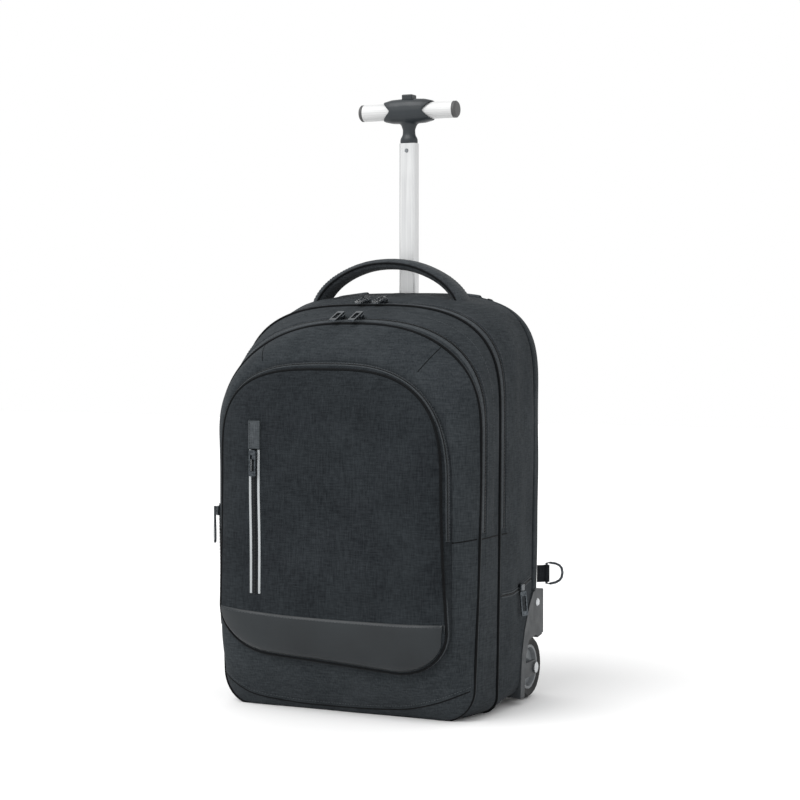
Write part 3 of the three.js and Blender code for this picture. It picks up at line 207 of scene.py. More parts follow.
MAT = {
    "pocket": woven("pocket_weave", "#14171a", "#282c2f"),
    "panel": woven("panel_weave", "#1e2225", "#34383b"),
    "lining": woven("lining_weave", "#1f2225", "#2b2e31", 0.6, 0.0002),
    "binding": woven("binding_weave", "#060708", "#0e1012", 1.6, 0.0003, 0.02, 0.75),
    "cord": woven("bead_weave", "#2a2e31", "#43474a", 1.8, 0.0003, 0.05, 0.7),
    "tape": woven("zip_tape_weave", "#111315", "#212427", 1.4, 0.0004, 0.03, 0.85),
    "webbing": woven("webbing_weave", "#0d0f11", "#202326", 1.2, 0.0007, 0.03, 0.8),
    "handle": woven("handle_weave", "#222528", "#3f4346", 1.2, 0.0004, 0.06, 0.8),
    "mesh": woven("spacer_mesh_weave", "#121517", "#26292c", 0.7, 0.0012, 0.03, 0.95),
    "strap": woven("strap_weave", "#2a2e31", "#43474a", 1.0, 0.0004),
    "thread": woven("thread_twist", "#2f3336", "#4c5053", 3.0, 0.0002, 0.05, 0.6),
    "tab": woven("tab_weave", "#2e3235", "#4b4f52", 1.4, 0.0005, 0.05, 0.75),
    "reflective": moulded("reflective_tape_film", "#8f9395", "#a6aaac", 0.38, 2600.0, 0.00006),
    "leather": leather("satin_leather", "#13171a", "#1a1f22"),
    "coil": moulded("zip_coil_nylon", "#0e1012", "#191b1d", 0.45, 1600.0),
    "housing": moulded("housing_moulded", "#23272a", "#303437", 0.5, 1100.0, 0.00012),
    "handle_plastic": moulded("hub_moulded", "#1a1f23", "#242a2e", 0.42, 1800.0),
    "cap": moulded("cap_moulded", "#464646", "#535353", 0.5, 1700.0),
    "hub": moulded("wheel_hub_moulded", "#5e6265", "#777b7e", 0.42, 1500.0),
    "tyre": moulded("tyre_rubber_moulded", "#08090a", "#111213", 0.68, 800.0, 0.0002),
    "tube": metal("tube_satin", "#bfc0c1", "#d4d5d5", 0.34, (900, 900, 12), 0.8),
    "bar": metal("bar_satin", "#bcbdbd", "#cdcdcd", 0.5, (14, 900, 900), 0.15),
    "steel": metal("steel_bright", "#a9acae", "#cdd0d2", 0.26, (300, 300, 300)),
    "gunmetal": metal("gunmetal_plated", "#2e3236", "#5f6468", 0.27, (420, 420, 420)),
    "silver": metal("silver_plated", "#9da0a2", "#dcdfe1", 0.2, (420, 420, 420)),
}


# Meshes
def piece(name, points, faces, material, body="bag", smooth=40):
    mesh = bpy.data.meshes.new(name)
    mesh.from_pydata((np.asarray(points, float) * MM).tolist(), [], faces)
    mesh.update()
    mesh.materials.append(MAT[material])
    mesh.shade_smooth()
    if smooth:
        mesh.set_sharp_from_angle(angle=math.radians(smooth))
    thing = bpy.data.objects.new(name, mesh)
    bpy.context.scene.collection.objects.link(thing)
    if body:
        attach(thing, body)
    return thing


def taken(thing):
    """The mesh of an object with its modifiers applied, and the modifiers gone."""
    graph = bpy.context.evaluated_depsgraph_get()
    mesh = bpy.data.meshes.new_from_object(thing.evaluated_get(graph))
    thing.modifiers.clear()
    old = thing.data
    thing.data = mesh
    bpy.data.meshes.remove(old)
    return thing


WAVE_COUNT = 10


def waves(points, seed, lengths):
    """A smooth field between about -1 and 1, with wavelengths given for each axis."""
    rng = np.random.RandomState(seed)
    total = np.zeros(len(points))
    for _ in range(WAVE_COUNT):
        way = rng.normal(size=3)
        way /= np.linalg.norm(way)
        k = way * (2 * math.pi / np.asarray(lengths, float)) * rng.uniform(0.6, 1.5)
        total += np.sin(points @ k + rng.uniform(0, 2 * math.pi))
    return total / math.sqrt(WAVE_COUNT)


# Outlines, a left and a right row each: half width, foot, top, rise, power, bottom, heel across, heel up, tilt
H, FOOT, TOP, RISE, POWER, BOTTOM, HEEL_X, HEEL_Z, TILT = range(9)


def outline(half, foot, top, rise, power, bottom, heel_x, heel_z, tilt=0.0, left=None):
    right = [
        half * HALF, foot * HALF, top * HEIGHT, rise * HEIGHT, power,
        bottom * HEIGHT, heel_x * HALF, heel_z * HEIGHT, tilt * HEIGHT,
    ]
    both = np.array([right, right])
    for place, value in (left or {}).items():
        both[0, place] = value
    return both


def grown(o, by):
    o = o.copy()
    o[:, [H, FOOT, TOP, RISE]] += by
    o[:, BOTTOM] -= min(by, 0)
    o[:, HEEL_X] = np.maximum(o[:, HEEL_X] + by, 2)
    o[:, HEEL_Z] = np.maximum(o[:, HEEL_Z] + by, 2)
    return o


def mixed(a, b, share):
    return a + (b - a) * share


POCKET = outline(0.855, 0.852, 0.837, 0.3, 2.5, 0.13, 0.38, 0.105, 0.019, {RISE: 118.0, POWER: 3.1})
POCKET_EDGE = outline(
    0.807, 0.85, 0.819, 0.258, 2.8, 0.13, 0.38, 0.105, 0.019, {H: 140.0, RISE: 110.0, POWER: 3.3}
)
SEAM_ONE = outline(0.985, 0.94, 0.925, 0.26, 2.5, 0, 0.24, 0.08, 0, {FOOT: 160.9, POWER: 2.2, HEEL_X: 34.0})
SEAM_TWO = outline(0.988, 0.968, 0.969, 0.26, 3, 0.0045, 0.11, 0.04)
REAR = outline(1, 0.985, 1, 0.262, 3.6, 0.0186, 0.11, 0.04)
PANEL = grown(POCKET, 3)
GUSSET = mixed(SEAM_ONE, SEAM_TWO, 0.5)
GUSSET[:, BOTTOM] = SEAM_ONE[:, BOTTOM]
MIDDLE = grown(mixed(SEAM_TWO, REAR, 0.62), 1.2)
MIDDLE[:, BOTTOM] = REAR[:, BOTTOM]

BOTTOM_STEPS, HEEL_STEPS, SIDE_STEPS, TOP_STEPS = 16, 10, 44, 50
RING_POINTS = 2 * (BOTTOM_STEPS + HEEL_STEPS + SIDE_STEPS + TOP_STEPS)


def half_ring(o):
    straight = o[FOOT] - o[HEEL_X]
    shoulder = o[TOP] - o[RISE]
    heel_top = o[BOTTOM] + o[HEEL_Z]
    t = np.arange(BOTTOM_STEPS) / BOTTOM_STEPS
    low = np.stack([straight * t, np.full_like(t, o[BOTTOM])], 1)
    a = np.pi / 2 * np.arange(HEEL_STEPS) / HEEL_STEPS
    heel = np.stack([straight + o[HEEL_X] * np.sin(a), o[BOTTOM] + o[HEEL_Z] * (1 - np.cos(a))], 1)
    t = np.arange(SIDE_STEPS) / SIDE_STEPS
    side = np.stack([
        o[FOOT] + (o[H] - o[FOOT]) * np.sin(np.pi / 2 * t),
        heel_top + (shoulder - heel_top) * t,
    ], 1)
    a = np.pi / 2 * np.linspace(0, 1, 500)
    x = o[H] * np.maximum(np.cos(a), 0) ** (2 / o[POWER])
    z = shoulder + o[RISE] * np.sin(a) ** (2 / o[POWER])
    x[-1] = 0
    run = np.concatenate([[0], np.cumsum(np.hypot(np.diff(x), np.diff(z)))])
    places = np.linspace(0, run[-1], TOP_STEPS + 1)
    crown = np.stack([np.interp(places, run, x), np.interp(places, run, z)], 1)
    return np.concatenate([low, heel, side, crown])


def ring(o):
    """One closed outline as (x, z), from the bottom centre up the right side."""
    sides = []
    for half, way in ((o[1], 1), (o[0], -1)):
        points = half_ring(half)
        middle = half[TOP] - half[RISE]
        low = np.clip((middle - points[:, 1]) / (middle - half[BOTTOM]), 0, 1)
        points[:, 1] -= half[TILT] * way * (points[:, 0] / half[H]) * low
        sides.append(points * [way, 1])
    return np.concatenate([sides[0], sides[1][1:-1][::-1]])


def pchip(values, steps):
    """Smooth rows between given ones with no overshoot; steps says how many for each gap."""
    v = np.asarray(values, float)
    d = np.diff(v, axis=0)
    slope = np.zeros_like(v)
    same = d[:-1] * d[1:] > 0
    with np.errstate(divide="ignore", invalid="ignore"):
        mean = 2 * d[:-1] * d[1:] / (d[:-1] + d[1:])
    slope[1:-1] = np.where(same, mean, 0)
    slope[0], slope[-1] = d[0], d[-1]
    rows = []
    for i, count in enumerate(steps):
        for t in np.arange(count) / count:
            h = np.array([2 * t**3 - 3 * t**2 + 1, t**3 - 2 * t**2 + t, -2 * t**3 + 3 * t**2, t**3 - t**2])
            rows.append(h[0] * v[i] + h[1] * slope[i] + h[2] * v[i + 1] + h[3] * slope[i + 1])
    rows.append(v[-1])
    return np.array(rows)


def lofted(rows, steps):
    """Grid of points through rows of (outline, y, groove), the groove being sunk above the band seam."""
    table = pchip([np.concatenate([o.ravel(), [y, groove]]) for o, y, groove in rows], steps)
    grid = []
    for row in table:
        points = ring(row[:-2].reshape(2, 9))
        ahead = np.roll(points, -1, 0) - np.roll(points, 1, 0)
        normal = np.stack([ahead[:, 1], -ahead[:, 0]], 1)
        normal /= np.linalg.norm(normal, axis=1)[:, None]
        share = np.clip((points[:, 1] - BAND_SEAM_Z) / 6, 0, 1)
        points = points - normal * (row[-1] * share)[:, None]
        grid.append(np.stack([points[:, 0], np.full(len(points), row[-2]), points[:, 1]], 1))
    return np.array(grid)


def grid_faces(rows, start=0, closed=True, turned=False):
    faces = []
    n = RING_POINTS
    for r in range(rows - 1):
        for c in range(n if closed else n - 1):
            a, b = start + r * n + c, start + r * n + (c + 1) % n
            quad = (a, b, b + n, a + n)
            faces.append(quad[::-1] if turned else quad)
    return faces


def capped(grid, end, peak_y=None, rings=8):
    """Rings that close one end of a grid, drawn in to their own middle."""
    edge = grid[0] if end == "front" else grid[-1]
    middle = edge.mean(0)
    if peak_y is not None:
        middle[1] = peak_y
    rows = []
    for i in range(1, rings + 1):
        s = 1 - i / rings
        row = middle + (edge - middle) * s
        row[:, 1] = edge[:, 1] + (middle[1] - edge[:, 1]) * (1 - s * s)
        rows.append(row)
    rows = np.array(rows)
    return np.concatenate([rows[::-1], grid]) if end == "front" else np.concatenate([grid, rows])


def closed_body(grid, rings):
    grid = capped(grid, "front", None, rings)
    return capped(grid, "back", None, rings)


def normals_of(grid):
    along = np.gradient(grid, axis=0)
    round_ = np.roll(grid, -1, 1) - np.roll(grid, 1, 1)
    n = np.cross(round_, along)
    length = np.linalg.norm(n, axis=2, keepdims=True)
    return n / np.maximum(length, 1e-9)


def softened(grid, seed, amount, lengths, hold):
    """Gentle swells off a grid; hold gives each row's share, 0 at its seams."""
    normal = normals_of(grid)
    flat = grid.reshape(-1, 3)
    field = waves(flat, seed, lengths).reshape(grid.shape[:2])
    return grid + normal * (field * amount * np.asarray(hold)[:, None])[:, :, None]


def tree_of(thing):
    mesh = thing.data
    return BVHTree.FromPolygons([v.co.copy() for v in mesh.vertices], [tuple(p.vertices) for p in mesh.polygons])


def cast(tree, origin, way):
    hit, normal, _, _ = tree.ray_cast(Vector(origin) * MM, Vector(way))
    if hit is None:
        return None
    if normal.dot(Vector(way)) > 0:
        normal = -normal
    return np.array(hit) / MM, np.array(normal)


def laid(tree, places, way):
    """Points and normals where rays through places meet a surface."""
    found = [cast(tree, p, way) for p in places]
    found = [f for f in found if f]
    return np.array([f[0] for f in found]), np.array([f[1] for f in found])


def snapped(tree, path, normal):
    """The same path brought onto a surface, with the surface's normals evened out along it."""
    places, ways = [], []
    for p, n in zip(path, normal):
        hit, face, _, _ = tree.find_nearest(Vector(p) * MM)
        face = np.array(face)
        places.append(np.array(hit) / MM)
        ways.append(face if face @ n > 0 else -face)
    places, ways = np.array(places), np.array(ways)
    for _ in range(3):
        ways[1:-1] = (ways[:-2] + 2 * ways[1:-1] + ways[2:]) / 4
    ways /= np.linalg.norm(ways, axis=1)[:, None]
    return places, ways


def resampled(points, spacing, normals=None):
    points = np.asarray(points, float)
    run = np.concatenate([[0], np.cumsum(np.linalg.norm(np.diff(points, axis=0), axis=1))])
    count = max(int(round(run[-1] / spacing)), 2)
    places = np.linspace(0, run[-1], count + 1)
    out = np.stack([np.interp(places, run, points[:, i]) for i in range(3)], 1)
    if normals is None:
        return out
    n = np.stack([np.interp(places, run, normals[:, i]) for i in range(3)], 1)
    return out, n / np.linalg.norm(n, axis=1)[:, None]


class Builder:
    """Collects many small bodies into one mesh."""

    def __init__(self):
        self.points, self.faces = [], []

    def add(self, points, faces):
        start = len(self.points)
        self.points.extend(np.asarray(points, float).tolist())
        self.faces.extend(tuple(start + i for i in face) for face in faces)

    def sweep(self, points, normals, profile, closed=False):
        """Sweeps a closed profile of (across, off) along points; the last profile point joins the first."""
        points, normals = np.asarray(points, float), np.asarray(normals, float)
        if closed:
            ahead = np.roll(points, -1, 0) - np.roll(points, 1, 0)
        else:
            ahead = np.gradient(points, axis=0)
        ahead /= np.maximum(np.linalg.norm(ahead, axis=1, keepdims=True), 1e-9)
        across = np.cross(normals, ahead)
        across /= np.maximum(np.linalg.norm(across, axis=1, keepdims=True), 1e-9)
        off = np.cross(ahead, across)
        profile = np.asarray(profile, float)
        n, m = len(points), len(profile)
        body = points[:, None] + across[:, None] * profile[None, :, :1] + off[:, None] * profile[None, :, 1:]
        faces = []
        for r in range(n if closed else n - 1):
            for c in range(m):
                a, b = r * m + c, r * m + (c + 1) % m
                d, e = ((r + 1) % n) * m + c, ((r + 1) % n) * m + (c + 1) % m
                faces.append((a, d, e, b))
        if not closed:
            faces.append(tuple(range(m)))
            faces.append(tuple(range((n - 1) * m, n * m))[::-1])
        self.add(body.reshape(-1, 3), faces)
        return self

    def bits(self, points, normals, size, pitch, lift=0.0):
        """Small rounded bars along a path, size being (along, across, off)."""
        places, ns = resampled(points, pitch, np.asarray(normals))
        ahead = np.gradient(places, axis=0)
        ahead /= np.linalg.norm(ahead, axis=1)[:, None]
        l, w, h = (s / 2 for s in size)
        shape = [
            (-l, -w, -h), (l, -w, -h), (l, w, -h), (-l, w, -h),
            (-l * 0.7, -w * 0.8, h), (l * 0.7, -w * 0.8, h), (l * 0.7, w * 0.8, h), (-l * 0.7, w * 0.8, h),
        ]
        faces = [(0, 3, 2, 1), (4, 5, 6, 7), (0, 1, 5, 4), (1, 2, 6, 5), (2, 3, 7, 6), (3, 0, 4, 7)]
        for p, t, n in zip(places, ahead, ns):
            b = np.cross(n, t)
            b /= np.linalg.norm(b)
            n = np.cross(t, b)
            self.add([p + t * x + b * y + n * (z + h + lift) for x, y, z in shape], faces)
        return self

    def made(self, name, material):
        return piece(name, self.points, self.faces, material)


def round_profile(radius, sides=8, flat=1.0):
    angles = 2 * np.pi * np.arange(sides) / sides
    return [(radius * math.cos(a), radius * flat * math.sin(a)) for a in angles]


def tape_profile(half, thick):
    """A tape's section with its edges taken off, sunk a little into what carries it."""
    sunk, bevel = -0.4, 0.3
    return [
        (-half, sunk), (half, sunk), (half, thick - bevel),
        (half - bevel, thick), (-half + bevel, thick), (-half, thick - bevel),
    ]


def ring_line(o, y, by=0.0, from_z=None):
    """A path round an outline at depth y, with its outward normals; from_z leaves its lower part out."""
    points = ring(grown(o, by) if by else o)
    ahead = np.roll(points, -1, 0) - np.roll(points, 1, 0)
    n = np.stack([ahead[:, 1], -ahead[:, 0]], 1)
    n /= np.linalg.norm(n, axis=1)[:, None]
    path = np.stack([points[:, 0], np.full(len(points), float(y)), points[:, 1]], 1)
    normal = np.stack([n[:, 0], np.zeros(len(points)), n[:, 1]], 1)
    if from_z is None:
        return path, normal
    use = path[:, 2] > from_z
    return path[use], normal[use]


def stuffed(name, points, faces, material, voxel=4.5, pressure=4.0, cap=2.0, body="bag"):
    thing = piece(name, points, faces, material, None, 0)
    remesh = thing.modifiers.new("remesh", "REMESH")
    remesh.mode = "VOXEL"
    remesh.voxel_size = voxel * MM
    remesh.use_smooth_shade = True
    taken(thing)
    rest = np.array([v.co[:] for v in thing.data.vertices])
    cloth = thing.modifiers.new("cloth", "CLOTH")
    cloth.settings.use_pressure = True
    cloth.settings.uniform_pressure_force = pressure
    cloth.settings.effector_weights.gravity = 0
    cloth.settings.quality = 5
    cloth.settings.tension_stiffness = CLOTH_STIFFNESS
    cloth.settings.compression_stiffness = CLOTH_STIFFNESS
    cloth.point_cache.frame_start = 1
    cloth.point_cache.frame_end = CLOTH_FRAMES
    scene = bpy.context.scene
    for number in range(1, CLOTH_FRAMES + 1):
        scene.frame_set(number)
    taken(thing)
    scene.frame_set(1)
    moved = np.array([v.co[:] for v in thing.data.vertices])
    if len(moved) == len(rest):
        shift = moved - rest
        length = np.linalg.norm(shift, axis=1, keepdims=True)
        limit = cap * MM
        shift *= np.minimum(1, limit / np.maximum(length, 1e-12))
        thing.data.vertices.foreach_set("co", (rest + shift).ravel())
        thing.data.update()
    relax = thing.modifiers.new("relax", "SMOOTH")
    relax.factor = 0.5
    relax.iterations = 3
    taken(thing)
    thing.modifiers.new("finer", "SUBSURF").levels = 1
    thing.modifiers["finer"].render_levels = 1
    taken(thing)
    thing.data.shade_smooth()
    thing.data.materials.clear()
    thing.data.materials.append(MAT[material])
    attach(thing, body)
    return thing


def slab(outline_xz, y_low, y_high, inset=6.0):
    """A rounded pad between two depths from a flat outline of (x, z)."""
    o = np.asarray(outline_xz, float)
    middle = o.mean(0)
    ahead = np.roll(o, -1, 0) - np.roll(o, 1, 0)
    n = np.stack([ahead[:, 1], -ahead[:, 0]], 1)
    n /= np.linalg.norm(n, axis=1)[:, None]
    rows = []
    for share, deep in ((1.0, 0.0), (0.35, 0.12), (0.0, 0.5), (0.35, 0.88), (1.0, 1.0)):
        ring_points = o - n * inset * share
        y = y_low + (y_high - y_low) * deep
        rows.append(np.stack([ring_points[:, 0], np.full(len(o), y), ring_points[:, 1]], 1))
    points = np.concatenate(rows)
    count = len(o)
    faces = []
    for r in range(4):
        for c in range(count):
            a, b = r * count + c, r * count + (c + 1) % count
            faces.append((a, b, b + count, a + count))
    faces.append(tuple(range(count))[::-1])
    faces.append(tuple(range(4 * count, 5 * count)))
    return points, faces


# Corner spaces that the wheel housings take out of the bag
def corner_zone(gap, name):
    low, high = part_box("wheel_housing_right")
    inner = low[0] / MM - gap
    radius, top, bottom = 38.0, 131.0, 9.0
    front, rear = WHEEL_Y - radius - 12, WHEEL_Y + radius + 1.5
    shares = [(0, 0), (0.02, 0.2), (0.06, 0.42), (0.15, 0.64), (0.32, 0.86), (0.46, 0.98), (0.56, 1)]
    edge = np.array([(front + b * (rear - front), bottom + u * (top - bottom)) for b, u in shares])
    ahead = np.gradient(edge, axis=0)
    ahead /= np.linalg.norm(ahead, axis=1)[:, None]
    edge = edge + np.stack([-ahead[:, 1], ahead[:, 0]], 1) * gap
    profile = np.concatenate([[(edge[0][0], -60)], edge, [(200, edge[-1][1]), (200, -60)]])
    points, faces = [], []
    count = len(profile)
    for side in (1, -1):
        start = len(points)
        for x in (inner, 240):
            points.extend((side * x, y, z) for y, z in profile)
        a = list(range(start, start + count))
        b = list(range(start + count, start + 2 * count))
        quads = [(a[i], a[(i + 1) % count], b[(i + 1) % count], b[i]) for i in range(count)]
        ends = [tuple(a[::-1]), tuple(b)]
        faces.extend(f[::-1] if side > 0 else f for f in quads + ends)
    cutter = piece(name, points, faces, "lining", None, 0)
    return cutter, edge


def cut(thing, *cutters):
    for cutter in cutters:
        boolean = thing.modifiers.new("cut", "BOOLEAN")
        boolean.operation = "DIFFERENCE"
        boolean.solver = "EXACT"
        boolean.object = cutter
    taken(thing)
    thing.data.shade_smooth()
    thing.data.set_sharp_from_angle(angle=math.radians(38))
    return thing


zone, zone_edge = corner_zone(0.5, "corner_zone")

# Front pocket: a crowned panel inside its piping, and a zipped side wall back to the front panel
pocket_rows = [
    (grown(POCKET_EDGE, -72), POCKET_Y - DOME, 0),
    (grown(POCKET_EDGE, -36), POCKET_Y - DOME * 0.86, 0),
    (grown(POCKET_EDGE, -12), POCKET_Y - DOME * 0.45, 0),
    (grown(POCKET_EDGE, -3), POCKET_Y - DOME * 0.12, 0),
    (grown(POCKET_EDGE, -0.8), POCKET_Y + 0.4, 0),
    (grown(POCKET_EDGE, -0.3), POCKET_Y + 2.2, 0),
    (grown(mixed(POCKET_EDGE, POCKET, 0.35), 0.2), POCKET_Y + 4.0, 0.3),
    (grown(mixed(POCKET_EDGE, POCKET, 0.8), 0.2), PANEL_Y - 3.0, 0.3),
    (grown(POCKET, 0.6), PANEL_Y - 0.2, 0),
]
pocket_steps = [10, 10, 8, 4, 3, 3, 4, 3]
pocket_grid = lofted(pocket_rows, pocket_steps)
hold = np.interp(np.arange(len(pocket_grid)), [0, 14, 26, 32, len(pocket_grid)], [1, 1, 0.6, 0, 0])
pocket_grid = softened(pocket_grid, 3, 0.7, (90, 90, 120), hold)
pocket_grid = capped(pocket_grid, "front", POCKET_Y - DOME - 0.6, 12)
pocket = piece("front_pocket_skin", pocket_grid.reshape(-1, 3), grid_faces(len(pocket_grid)), "pocket")
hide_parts("front_pocket")
pocket_tree = tree_of(pocket)

# Front compartment: its panel, the seam round it and the gusset back to the second seam
front_rows = [
    (grown(PANEL, -6), PANEL_Y, 0),
    (mixed(PANEL, SEAM_ONE, 0.02), PANEL_Y + 0.1, 0),
    (mixed(PANEL, SEAM_ONE, 0.22), PANEL_Y + 3.2, 0),
    (mixed(PANEL, SEAM_ONE, 0.56), PANEL_Y + 12.2, 0),
    (mixed(PANEL, SEAM_ONE, 0.83), PANEL_Y + 22.4, 0),
    (mixed(PANEL, SEAM_ONE, 0.985), PANEL_Y + 30.2, 0),
    (grown(SEAM_ONE, -0.6), SEAM_ONE_Y, 0),
    (grown(SEAM_ONE, 0.2), SEAM_ONE_Y + 2.6, 0),
    (grown(mixed(SEAM_ONE, GUSSET, 0.35), 0.6), SEAM_ONE_Y + 9.4, 0),
    (grown(mixed(SEAM_ONE, GUSSET, 0.38), 0.6), SEAM_ONE_Y + 10.2, 1.1),
    (grown(mixed(SEAM_ONE, GUSSET, 0.56), 0.8), SEAM_ONE_Y + 15.2, 1.1),
    (grown(mixed(SEAM_ONE, GUSSET, 0.59), 1.0), SEAM_ONE_Y + 16.0, 0),
    (grown(GUSSET, 0.9), (SEAM_ONE_Y + SEAM_TWO_Y) / 2, 0),
    (grown(mixed(GUSSET, SEAM_TWO, 0.6), 0.6), SEAM_TWO_Y - 11, 0),
    (grown(SEAM_TWO, -0.6), SEAM_TWO_Y - 0.8, 0),
]
front_steps = [2, 3, 5, 6, 6, 4, 3, 3, 2, 4, 2, 4, 6, 5]
front_grid = lofted(front_rows, front_steps)
places = [0, 4, 14, 24, 28, 40, 48, len(front_grid)]
hold = np.interp(np.arange(len(front_grid)), places, [0, 0.3, 1, 0.4, 0, 0, 0.9, 0])
front_grid = softened(front_grid, 8, 0.9, (70, 60, 110), hold)
front_body = closed_body(front_grid, rings=4)
front_body[:, :, 2] = np.maximum(front_body[:, :, 2], 0.2)
front = piece("front_compartment_skin", front_body.reshape(-1, 3), grid_faces(len(front_body)), "panel")
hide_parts("front_compartment")
front_tree = tree_of(front)

# Main compartment, with its corners cut out for the wheel housings
main_rows = [
    (grown(SEAM_TWO, -3), SEAM_TWO_Y + 0.1, 0),
    (grown(SEAM_TWO, -0.4), SEAM_TWO_Y + 1.2, 0),
    (grown(SEAM_TWO, 0.4), SEAM_TWO_Y + 4.4, 0),
    (grown(mixed(SEAM_TWO, MIDDLE, 0.15), 0.6), SEAM_TWO_Y + 9.4, 0),
    (grown(mixed(SEAM_TWO, MIDDLE, 0.17), 0.6), SEAM_TWO_Y + 10.2, 1.1),
    (grown(mixed(SEAM_TWO, MIDDLE, 0.27), 0.5), SEAM_TWO_Y + 15.2, 1.1),
    (grown(mixed(SEAM_TWO, MIDDLE, 0.29), 0.5), SEAM_TWO_Y + 16.0, 0),
    (grown(MIDDLE, 0.4), SEAM_TWO_Y + 51, 0),
    (grown(mixed(MIDDLE, REAR, 0.6), 0.4), SEAM_TWO_Y + 82, 0),
    (grown(REAR, -0.2), MAIN_BACK_Y - 1.6, 0),
    (grown(REAR, -1.8), MAIN_BACK_Y - 0.1, 0),
]
main_steps = [2, 3, 2, 2, 5, 2, 9, 8, 4, 2]
main_grid = lofted(main_rows, main_steps)
hold = np.interp(np.arange(len(main_grid)), [0, 16, 24, 34, len(main_grid)], [0, 0, 1, 0.8, 0])
main_grid = softened(main_grid, 21, 1.1, (60, 34, 170), hold)
main_body = closed_body(main_grid, rings=4)
main = piece("main_compartment_skin", main_body.reshape(-1, 3), grid_faces(len(main_body)), "panel")
cut(main, zone)
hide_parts("main_compartment")
main_tree = tree_of(main)

# Back wall: a thin lined plate whose bound rim is the rear seam
wall_grid = lofted([
    (grown(REAR, -1.2), MAIN_BACK_Y + 0.4, 0),
    (grown(REAR, -0.4), MAIN_BACK_Y + 1.8, 0),
    (grown(REAR, -1.2), MAIN_BACK_Y + 3.2, 0),
], [3, 3])
wall_body = closed_body(wall_grid, rings=2)
wall = piece("back_wall_skin", wall_body.reshape(-1, 3), grid_faces(len(wall_body)), "lining")
cut(wall, zone)
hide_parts("back_wall")

# Rear stow pocket: a hollow shell with a mouth along its top
rear_rows = [
    (grown(REAR, -1.6), REAR_FRONT_Y + 0.1, 0),
    (grown(REAR, -0.1), REAR_FRONT_Y + 1.8, 0),
    (grown(REAR, -0.6), REAR_FRONT_Y + 12.4, 0),
    (grown(REAR, -4), REAR_FRONT_Y + 20.5, 0),
    (grown(REAR, -13), REAR_FRONT_Y + 27, 0),
    (grown(REAR, -34), REAR_BACK_Y, 0),
]
rear_grid = lofted(rear_rows, [3, 6, 6, 6, 6])
hold = np.interp(np.arange(len(rear_grid)), [0, 3, 10, 22, len(rear_grid)], [0, 0.2, 1, 0.5, 0])
rear_grid = softened(rear_grid, 33, 0.7, (60, 60, 150), hold)
rear_outer = capped(rear_grid, "back", None, 8)
hollow_rows = [
    (grown(REAR, -2.8), REAR_FRONT_Y + 0.1, 0),
    (grown(REAR, -2.6), REAR_FRONT_Y + 14, 0),
    (grown(REAR, -7), REAR_FRONT_Y + 18.6, 0),
    (grown(REAR, -14), HOLLOW_BACK_Y, 0),
]
hollow_grid = capped(lofted(hollow_rows, [4, 3, 4]), "back", None, 4)
points = np.concatenate([rear_outer.reshape(-1, 3), hollow_grid.reshape(-1, 3)])
faces = grid_faces(len(rear_outer)) + grid_faces(len(hollow_grid), len(rear_outer) * RING_POINTS, True, True)
for c in range(RING_POINTS):
    d = (c + 1) % RING_POINTS
    offset = len(rear_outer) * RING_POINTS
    faces.append((d, c, offset + c, offset + d))
rear = piece("rear_cover_skin", points, faces, "panel")
rear_tree = tree_of(rear)
mouth_points, mouth_faces = slab([
    (x * MOUTH_HALF, HEIGHT + z * 22.0) for x, z in ((-1, -1), (1, -1), (1, 1), (-1, 1))
], REAR_FRONT_Y - 2.6, HOLLOW_BACK_Y, 0.0)
mouth = piece("mouth_cutter", mouth_points, [f[::-1] for f in mouth_faces], "lining", None, 0)
cut(rear, zone, mouth)
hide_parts("rear_cover")
for cutter in (zone, mouth):
    bpy.data.objects.remove(cutter)

# Piping and beads round the seams
piping, beads = Builder(), Builder()
CORD, BEAD, FLOOR_GAP = 1.7, 1.0, 0.1
for o, y, by, bead_y, thick in (
    (POCKET_EDGE, POCKET_Y + 0.9, -0.4, 3.6, 1.1),
    (SEAM_ONE, SEAM_ONE_Y - 0.4, 0.2, 3.2, BEAD),
    (SEAM_TWO, SEAM_TWO_Y, 0.1, 3.2, BEAD),
):
    path, normal = ring_line(o, y, by)
    path[:, 2] = np.maximum(path[:, 2], CORD + FLOOR_GAP)
    piping.sweep(path, normal, round_profile(CORD, 10), True)
    path, normal = ring_line(grown(o, 0.3), y + bead_y)
    path[:, 2] = np.maximum(path[:, 2], thick + FLOOR_GAP)
    beads.sweep(path, normal, round_profile(thick, 8), True)
piping.made("seam_piping", "binding")

# Rear seam binding, kept off the wheel housings
rim = Builder()
path, normal = ring_line(REAR, MAIN_BACK_Y + 1.8, -0.5)
inside = (np.abs(path[:, 0]) < 132) & (path[:, 2] < 60)
use = inside | (path[:, 2] > zone_edge[-1][1] + 3)
upper = use & ~inside
start = int(np.argmax(upper))
end = len(upper) - int(np.argmax(upper[::-1]))
rim.sweep(path[start:end], normal[start:end], round_profile(1.2, 8))
order = np.concatenate([np.arange(end, len(path)), np.arange(0, start)])
order = [i for i in order if inside[i]]
rim.sweep(path[order], normal[order], round_profile(1.2, 8))
rim.made("rear_seam_binding", "panel")

# Zips, each a coil of teeth between its tapes; sizes of teeth and stitches are along, across and off
tapes, coils, stitches = Builder(), Builder(), Builder()
STITCH, STITCH_PITCH = (2.4, 0.55, 0.5), 3.6
FINE_STITCH = (2.4, 0.5, 0.45)
TOOTH_PITCH = 1.7


